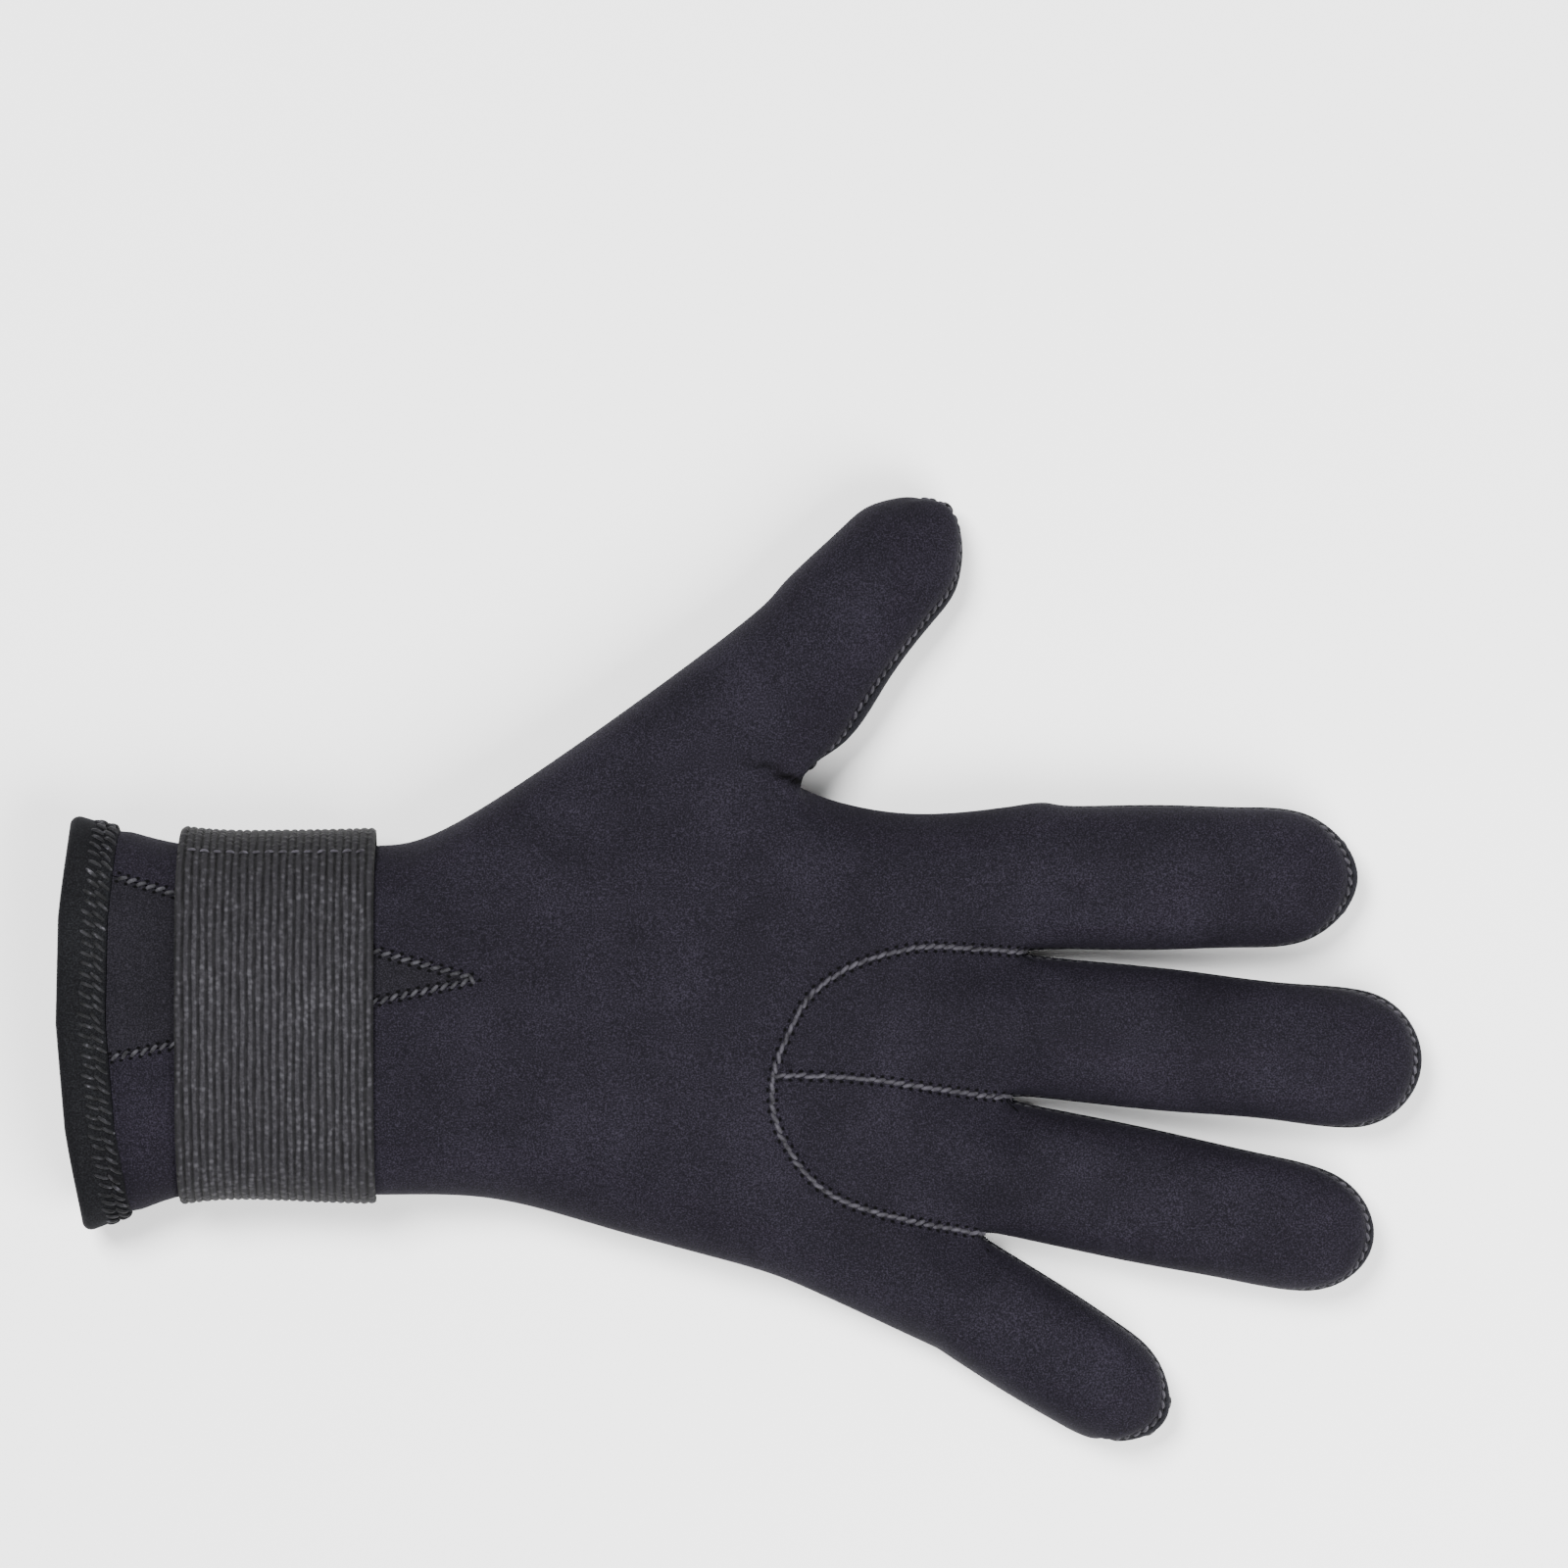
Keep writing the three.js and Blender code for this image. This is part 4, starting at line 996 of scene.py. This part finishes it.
def weights(t):
    """The four cubic B-spline weights of the net rows round a place between two rows, and slopes."""
    value = [(1 - t) ** 3, 3 * t ** 3 - 6 * t ** 2 + 4, -3 * t ** 3 + 3 * t ** 2 + 3 * t + 1, t ** 3]
    slope = [-((1 - t) ** 2), 3 * t ** 2 - 4 * t, -3 * t ** 2 + 2 * t + 1, t ** 2]
    return np.stack(value, -1) / 6, np.stack(slope, -1) / 2


def sleeve(row, turn):
    """Places and outward normals on the sleeve at a row of the net and a turn from 0 to 20 round it,
    as sums of the net's points with cubic weights in both directions."""
    i = np.floor(row).astype(int)
    j = np.floor(turn).astype(int)
    (wu, du), (wv, dv) = weights(row - i), weights(turn - j)
    padded = np.concatenate([2 * wrist_rows[:1] - wrist_rows[1:2], wrist_rows])
    column = (j[..., None, None] + np.arange(-1, 3)) % COLUMNS
    near = padded[i[..., None, None] + np.arange(4)[:, None], column]
    place = np.einsum("...a,...b,...abc->...c", wu, wv, near)
    along = np.einsum("...a,...b,...abc->...c", du, wv, near)
    around = np.einsum("...a,...b,...abc->...c", wu, dv, near)
    normal = np.cross(along, around)
    return place, -normal / np.linalg.norm(normal, axis=-1, keepdims=True)


def row_at(wanted, turn):
    """The net row at which the sleeve reaches an X, by a few rounds of correction: the X still missing
    over the rows' distance is added each time."""
    row = np.full(np.broadcast(wanted, turn).shape, 1.5)
    for _ in range(12):
        place, _ = sleeve(row, np.broadcast_to(turn, row.shape))
        row = np.clip(row + (wanted - place[..., 0]) / ROW_PITCH, 0, 4.5)
    return row


def cuff_places(distance, turn):
    """Places and normals on the sleeve at a distance from the cuff's edge and at turns round it."""
    start, _ = sleeve(np.ones(len(turn)), turn)
    row = row_at(cuff_edge(start[:, 1]) + distance, turn)
    return sleeve(row, np.broadcast_to(turn, row.shape))


def hem_mesh():
    """The folded edge: a long loop in section, with a half round where it turns over, carried round
    the sleeve. Each point lies at a distance from the cuff's edge and a depth under the skin."""
    half = HEM_WALL / 2
    end = HEM_WIDTH - SEAM_GAP / 2
    flat = np.linspace(end - 0.3, half, 14)
    arc = np.linspace(0, np.pi, 10)[1:-1]
    run = np.concatenate([[end], flat, half - half * np.sin(arc), flat[::-1], [end]])
    top, under = np.zeros(len(flat)), np.full(len(flat), HEM_WALL)
    deep = np.concatenate([[0.5], top, half - half * np.cos(arc), under, [HEM_WALL - 0.4]])
    deep += np.where(deep == 0, dip(run - HEM_GROOVE, depth=0.35, reach=1.6), 0)
    place, normal = cuff_places(run[:, None], hem_turns)
    points = (place - normal * deep[:, None, None]).reshape(-1, 3)
    a = np.arange(len(points)).reshape(len(run), HEM_STEPS)
    b = np.roll(a, -1, 0)
    return points, np.stack([a, b, np.roll(b, -1, 1), np.roll(a, -1, 1)], -1).reshape(-1, 4)


def hem_line(distance):
    """Frames round the cuff at a distance from its edge."""
    return spaced(np.hstack(cuff_places(distance, np.append(hem_turns, 0))), STITCH_PITCH)


hem_cloth = jersey("folded_jersey", "#060607", "#0d0d0f", "#1a1b1d", grain=0.3)
hem = made_piece("cuff_fold", *hem_mesh(), hem_cloth, "hem")
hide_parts("cuff_hem")
hem_stitch = stitch(length=3.0, thickness=0.75, rise=0.25)
black_thread = sewing_thread("black_thread", [(0.4, "#08080a"), (0.6, "#1e1e21"), (0.76, "#504f55")])
hem_rows = [(hem_line(5.7), 62, hem_stitch, 0.2), (hem_line(8.0), 52, hem_stitch, 0.2)]
sewn("hem_thread", hem_rows, black_thread, "hem")

# Wrist strap. Ribbed woven elastic, sewn down at the little finger's side; it goes over the back and
# round the thumb's side, and its free end turns under onto the fastener.
STRAP_THICKNESS = 1.5
STRAP_REACH = 14
LAYER_GAP = 0.3
LOOP_THICKNESS = 1.2
LOOP_REACH = 56
HOOK_THICKNESS = 1.0
HOOK_REACH = 12.5
HOOK_EDGE = 3
HOOK_BASE = LAYER_GAP + LOOP_THICKNESS + LAYER_GAP
STRAP_END_BASE = HOOK_BASE + HOOK_THICKNESS + LAYER_GAP
RIBS = 25
RIB_HEIGHT = 0.5
# The selvedge falls away by this depth, within this share of a rib.
SELVEDGE_FALL = 0.4
SELVEDGE = 0.35
# The weft shows as a bead this long in each rib; the yarns are drawn a little coarser than real ones.
PICK = 1.25
YARN_SIZE = 0.556
PATCHY_SIZE = 9.09
# Turns round the sleeve go from 0 on the thumb's side over the back to 10 on the little finger's, and
# under the wrist from -10 to 0. The strap starts at one turn, and its row of tacking is at another.
STRAP_ROOT = 9.0
TACK_TURN = -0.35
TACK_PITCH = 2.6
TACK_MARGIN = 1.5


def turn_at(wanted, low=-5.0, high=-1.0):
    """The turn between two turns at which the wrist's middle reaches a Y."""
    turn = np.linspace(low, high, 200)
    place, _ = sleeve(np.full(200, 3.0), turn)
    order = np.argsort(place[:, 1])
    return np.interp(wanted, place[order, 1], turn[order])


def even_turns(low, high, count):
    """Turns from one to another, at equal distances on the wrist's middle."""
    turn = np.linspace(low, high, 400)
    place, _ = sleeve(np.full(400, 3.0), turn)
    length = run_length(place)
    return np.interp(np.linspace(0, length[-1], count), length, turn)


def lift_of(places):
    """Height of the strap over the skin. It starts to leave the skin near the top of the thumb's
    side and by the underside it is high enough for the two tapes under it."""
    start = STRAP_LIFT + 0.9 * WRIST_HEIGHT
    down = eased(np.clip((start - places[..., 2]) / (0.75 * WRIST_HEIGHT), 0, 1))
    return np.where(places[..., 1] > 0, LAYER_GAP + (STRAP_END_BASE - LAYER_GAP) * down, LAYER_GAP)


def slab(upper, lower):
    """A closed sheet between two grids of places: both faces, and a wall along the four edges."""
    rows, steps = upper.shape[:2]
    grid = np.arange(rows * steps).reshape(rows, steps)
    a, b, c, d = grid[:-1, :-1], grid[1:, :-1], grid[1:, 1:], grid[:-1, 1:]
    top = np.stack([a, b, c, d], -1).reshape(-1, 4)
    rim = np.concatenate([grid[0, :-1], grid[:-1, -1], grid[-1, :0:-1], grid[:0:-1, 0]])
    after = np.roll(rim, -1)
    below = rows * steps
    walls = np.stack([rim, after, after + below, rim + below], -1)
    points = np.concatenate([upper.reshape(-1, 3), lower.reshape(-1, 3)])
    return points, np.vstack([top, top[:, ::-1] + below, walls])


def layer_grid(along, turn, base, thickness):
    """Two grids on the sleeve at X values and turns: at a height over it, and a thickness higher."""
    x, spread = np.meshgrid(along, turn, indexing="ij")
    place, normal = sleeve(row_at(x, spread), spread)
    low = base(place) if callable(base) else base
    low = np.broadcast_to(low, x.shape)[..., None]
    return place + normal * (low + thickness[..., None]), place + normal * low


strap_turns = even_turns(STRAP_ROOT, turn_at(WRIST_WIDTH / 2 - STRAP_REACH), 150)
strap_along = np.linspace(0, 1, 6 * RIBS + 1)
rib, around = np.meshgrid(strap_along * RIBS, strap_turns, indexing="ij")
# The ribs are half rounds that wander a little, by two sums of sines.
wave = 0.06 * np.sin(around * 2.1 + 3 * np.sin(rib * 0.9)) + 0.03 * np.sin(around * 9 + rib)
inside_rib = (rib + wave) % 1 * 2 - 1
edge_fall = np.exp(-rib / SELVEDGE) + np.exp(-(RIBS - rib) / SELVEDGE)
ribs = RIB_HEIGHT * np.sqrt(np.clip(1 - inside_rib ** 2, 0.02, 1)) - RIB_HEIGHT
ribs -= SELVEDGE_FALL * edge_fall
upper, lower = layer_grid(
    STRAP_START + strap_along * STRAP_WIDTH, strap_turns, lift_of, STRAP_THICKNESS + ribs)

# Woven elastic: dull grey ribs, with painted shade in the grooves between them, and small painted
# glints where the covering yarn of each bead would catch the light.
elastic, elastic_shader, where = finish(
    "ribbed_elastic", Roughness=0.75, Sheen_Weight=0.03, Specular_IOR_Level=0.1)
weave = added(elastic, "Attribute", attribute_name="weave").outputs["Vector"]
lanes = added(elastic, "SeparateXYZ", {0: weave})
groove = added(elastic, "Math", {0: lanes, 1: 0.5}, operation="PINGPONG")
raised_rib = added(elastic, "MapRange", {0: groove, 1: 0.06, 2: 0.32}, interpolation_type="SMOOTHSTEP")
beads = added(elastic, "TexVoronoi", {"Vector": weave, "Scale": 1.0, "Randomness": 0.9})
bead = added(elastic, "MapRange", {0: beads, 1: 0.6, 2: 0.1}, interpolation_type="SMOOTHSTEP")
yarns = added(elastic, "TexNoise", {
    "Vector": where, "Scale": 1 / (YARN_SIZE * MM), "Detail": 3, "Roughness": 0.7})
patchy = added(elastic, "TexNoise", {"Vector": where, "Scale": 1 / (PATCHY_SIZE * MM), "Detail": 2})
bright = added(elastic, "Math", {0: patchy, 1: 0.55, 2: -0.08}, operation="MULTIPLY_ADD")
# Painted glints: bright spots on the beads, in the base colour.
painted_glint = added(elastic, "Math", {0: bead, 1: bright}, operation="MULTIPLY")
tone = added(elastic, "Math", {0: raised_rib, 1: 0.34, 2: painted_glint}, operation="MULTIPLY_ADD")
tone = added(elastic, "Math", {0: yarns, 1: 0.5, 2: tone}, operation="MULTIPLY_ADD")
# Painted light and shade along the strap, from the weave's third value.
tone = added(elastic, "Math", {0: lanes.outputs["Z"], 1: 0.34, 2: tone}, operation="MULTIPLY_ADD")
height = added(elastic, "Math", {0: bead, 1: 0.6, 2: tone}, operation="MULTIPLY_ADD")
scaled = added(elastic, "Math", {0: tone, 1: 0.7}, operation="MULTIPLY")
bump = added(elastic, "Bump", {"Height": height, "Strength": 0.6, "Distance": 0.3 * MM})
greys = shades(elastic, scaled, [(0.3, "#09090a"), (0.6, "#1c1b1e"), (0.9, "#3c3b3f")])
wired(elastic_shader, {"Base Color": greys, "Normal": bump})
strap = made_piece("strap_elastic", *slab(upper, lower), elastic, "elastic", sharp=60)

# The weave's rib and pick at each point, and its tone, which is painted light and shade: the back of
# the strap is painted lighter where it catches the light, the folded end over the thumb's side is
# painted darker with shade where it turns under, and the tone is darker towards both edges.
strap_length = run_length(upper[len(strap_along) // 2])
painted_light_along = np.interp(strap_length, [0, 14, 46, 69, 80, 88], [0.65, 0.9, 1, 0.8, 0.3, 0])
edges = np.clip(np.minimum(rib, RIBS - rib) / 2, 0, 1) * 0.3 + 0.7
woven = np.stack([rib + wave, np.broadcast_to(strap_length / PICK, rib.shape), painted_light_along * edges], -1)
strap.data.attributes.new("weave", "FLOAT_VECTOR", "POINT").data.foreach_set(
    "vector", np.tile(woven.reshape(-1, 3), (2, 1)).ravel())
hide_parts("wrist_strap")

tack_along = np.linspace(STRAP_START + TACK_MARGIN, STRAP_START + STRAP_WIDTH - TACK_MARGIN, 60)
tack_turn = np.full(60, TACK_TURN)
tack_place, tack_normal = sleeve(row_at(tack_along, tack_turn), tack_turn)
tack_place += tack_normal * (lift_of(tack_place) + STRAP_THICKNESS - 0.1)[:, None]
tack_line = spaced(np.hstack([tack_place, tack_normal]), TACK_PITCH)
tack_stitch = stitch(length=1.9, thickness=0.6, rise=0.15)
sewn("strap_thread", [(tack_line, 4, tack_stitch)], grey_thread, "elastic")

# Fastener. A band of brushed loops is sewn to the underside of the wrist, and a short hook tape to
# the strap's free end lies on it.
PATCH_STEPS = 75
LOOP_STEPS = 90
HOOK_STEPS = 30
FUZZ = 0.35
CURL_SIZE = 0.769
PIN_SIZE = 1.43
patch_along = np.linspace(patch_start, patch_start + PATCH_WIDTH, PATCH_STEPS)
loop_end = turn_at(WRIST_WIDTH / 2 - LOOP_REACH, low=-9.9, high=-3.0)
loop_turns = np.linspace(turn_at(WRIST_WIDTH / 2 - LOOP_EDGE), loop_end, LOOP_STEPS)
fuzz = np.random.default_rng(5).uniform(-FUZZ, 0, (PATCH_STEPS, LOOP_STEPS))
upper, lower = layer_grid(patch_along, loop_turns, LAYER_GAP, LOOP_THICKNESS + fuzz)
# Brushed nylon loops: a dull, curly black pile that hardly shines.
pile, pile_shader, where = finish(
    "brushed_loops", Roughness=0.95, Sheen_Weight=0.1, Sheen_Roughness=0.6, Specular_IOR_Level=0.1)
curls = added(pile, "TexNoise", {
    "Vector": where, "Scale": 1 / (CURL_SIZE * MM), "Detail": 4, "Roughness": 0.7})
bump = added(pile, "Bump", {"Height": curls, "Strength": 0.8, "Distance": 0.4 * MM})
blacks = shades(pile, curls, [(0.35, "#070708"), (0.55, "#101012"), (0.8, "#2a2a2c")])
wired(pile_shader, {"Base Color": blacks, "Normal": bump})
loop_tape = made_piece("loop_tape", *slab(upper, lower), pile, "loop", sharp=80)
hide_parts("loop_patch")

hook_turns = np.linspace(
    turn_at(WRIST_WIDTH / 2 - HOOK_EDGE), turn_at(WRIST_WIDTH / 2 - HOOK_REACH), HOOK_STEPS)
hook_thickness = np.full((PATCH_STEPS, HOOK_STEPS), HOOK_THICKNESS)
upper, lower = layer_grid(patch_along, hook_turns, HOOK_BASE, hook_thickness)
# Moulded nylon hooks: a stiff, half glossy field of small pins.
nylon, nylon_shader, where = finish("moulded_hooks", Roughness=0.5)
pins = added(nylon, "TexVoronoi", {"Vector": where, "Scale": 1 / (PIN_SIZE * MM)})
wired(nylon_shader, {"Base Color": shades(nylon, pins, [(0.1, "#1c1c1e"), (0.6, "#0c0c0e")])})
hook_tape = made_piece("hook_tape", *slab(upper, lower), nylon, "hook", sharp=60)
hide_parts("hook_patch")

# The floor, the light and the camera. A plain white ground, a broad soft light from the upper left,
# and a long lens straight above.
floor_mesh = bpy.data.meshes.new("floor")
floor_mesh.from_pydata([(-3, -3, 0), (3, -3, 0), (3, 3, 0), (-3, 3, 0)], [], [(0, 1, 2, 3)])
floor = bpy.data.objects.new("floor", floor_mesh)
bpy.context.scene.collection.objects.link(floor)
paper, _, _ = finish("white_paper", Roughness=0.9, Base_Color=linear("#fbfbfb"))
floor_mesh.materials.append(paper)


def soft_light(name, place, size, power):
    """A square light of a size in metres at a place, facing the glove."""
    data = bpy.data.lights.new(name, "AREA")
    data.size = size
    data.energy = power
    lamp = bpy.data.objects.new(name, data)
    lamp.location = place
    lamp.rotation_euler = (-Vector(place)).to_track_quat("-Z", "Y").to_euler()
    bpy.context.scene.collection.objects.link(lamp)


soft_light("key", (-0.65, 0.75, 1.9), size=0.8, power=110)
soft_light("fill", (0.42, -0.42, 0.62), size=0.6, power=17)
world = bpy.data.worlds.new("studio")
world.use_nodes = True
wired(world.node_tree.nodes["Background"], {"Color": (1, 1, 1, 1), "Strength": 0.4})
bpy.context.scene.world = world

# The picture is this wide at the height of the glove's outline.
PICTURE_WIDTH = 307.2 * MM
OUTLINE_HEIGHT = 13 * MM
CAMERA_HEIGHT = 1.6
camera_data = bpy.data.cameras.new("camera")
camera = bpy.data.objects.new("camera", camera_data)
camera.location = (8.2 * MM, 36.3 * MM, CAMERA_HEIGHT)
camera_data.lens = camera_data.sensor_width * (CAMERA_HEIGHT - OUTLINE_HEIGHT) / PICTURE_WIDTH
bpy.context.scene.collection.objects.link(camera)
bpy.context.scene.camera = camera
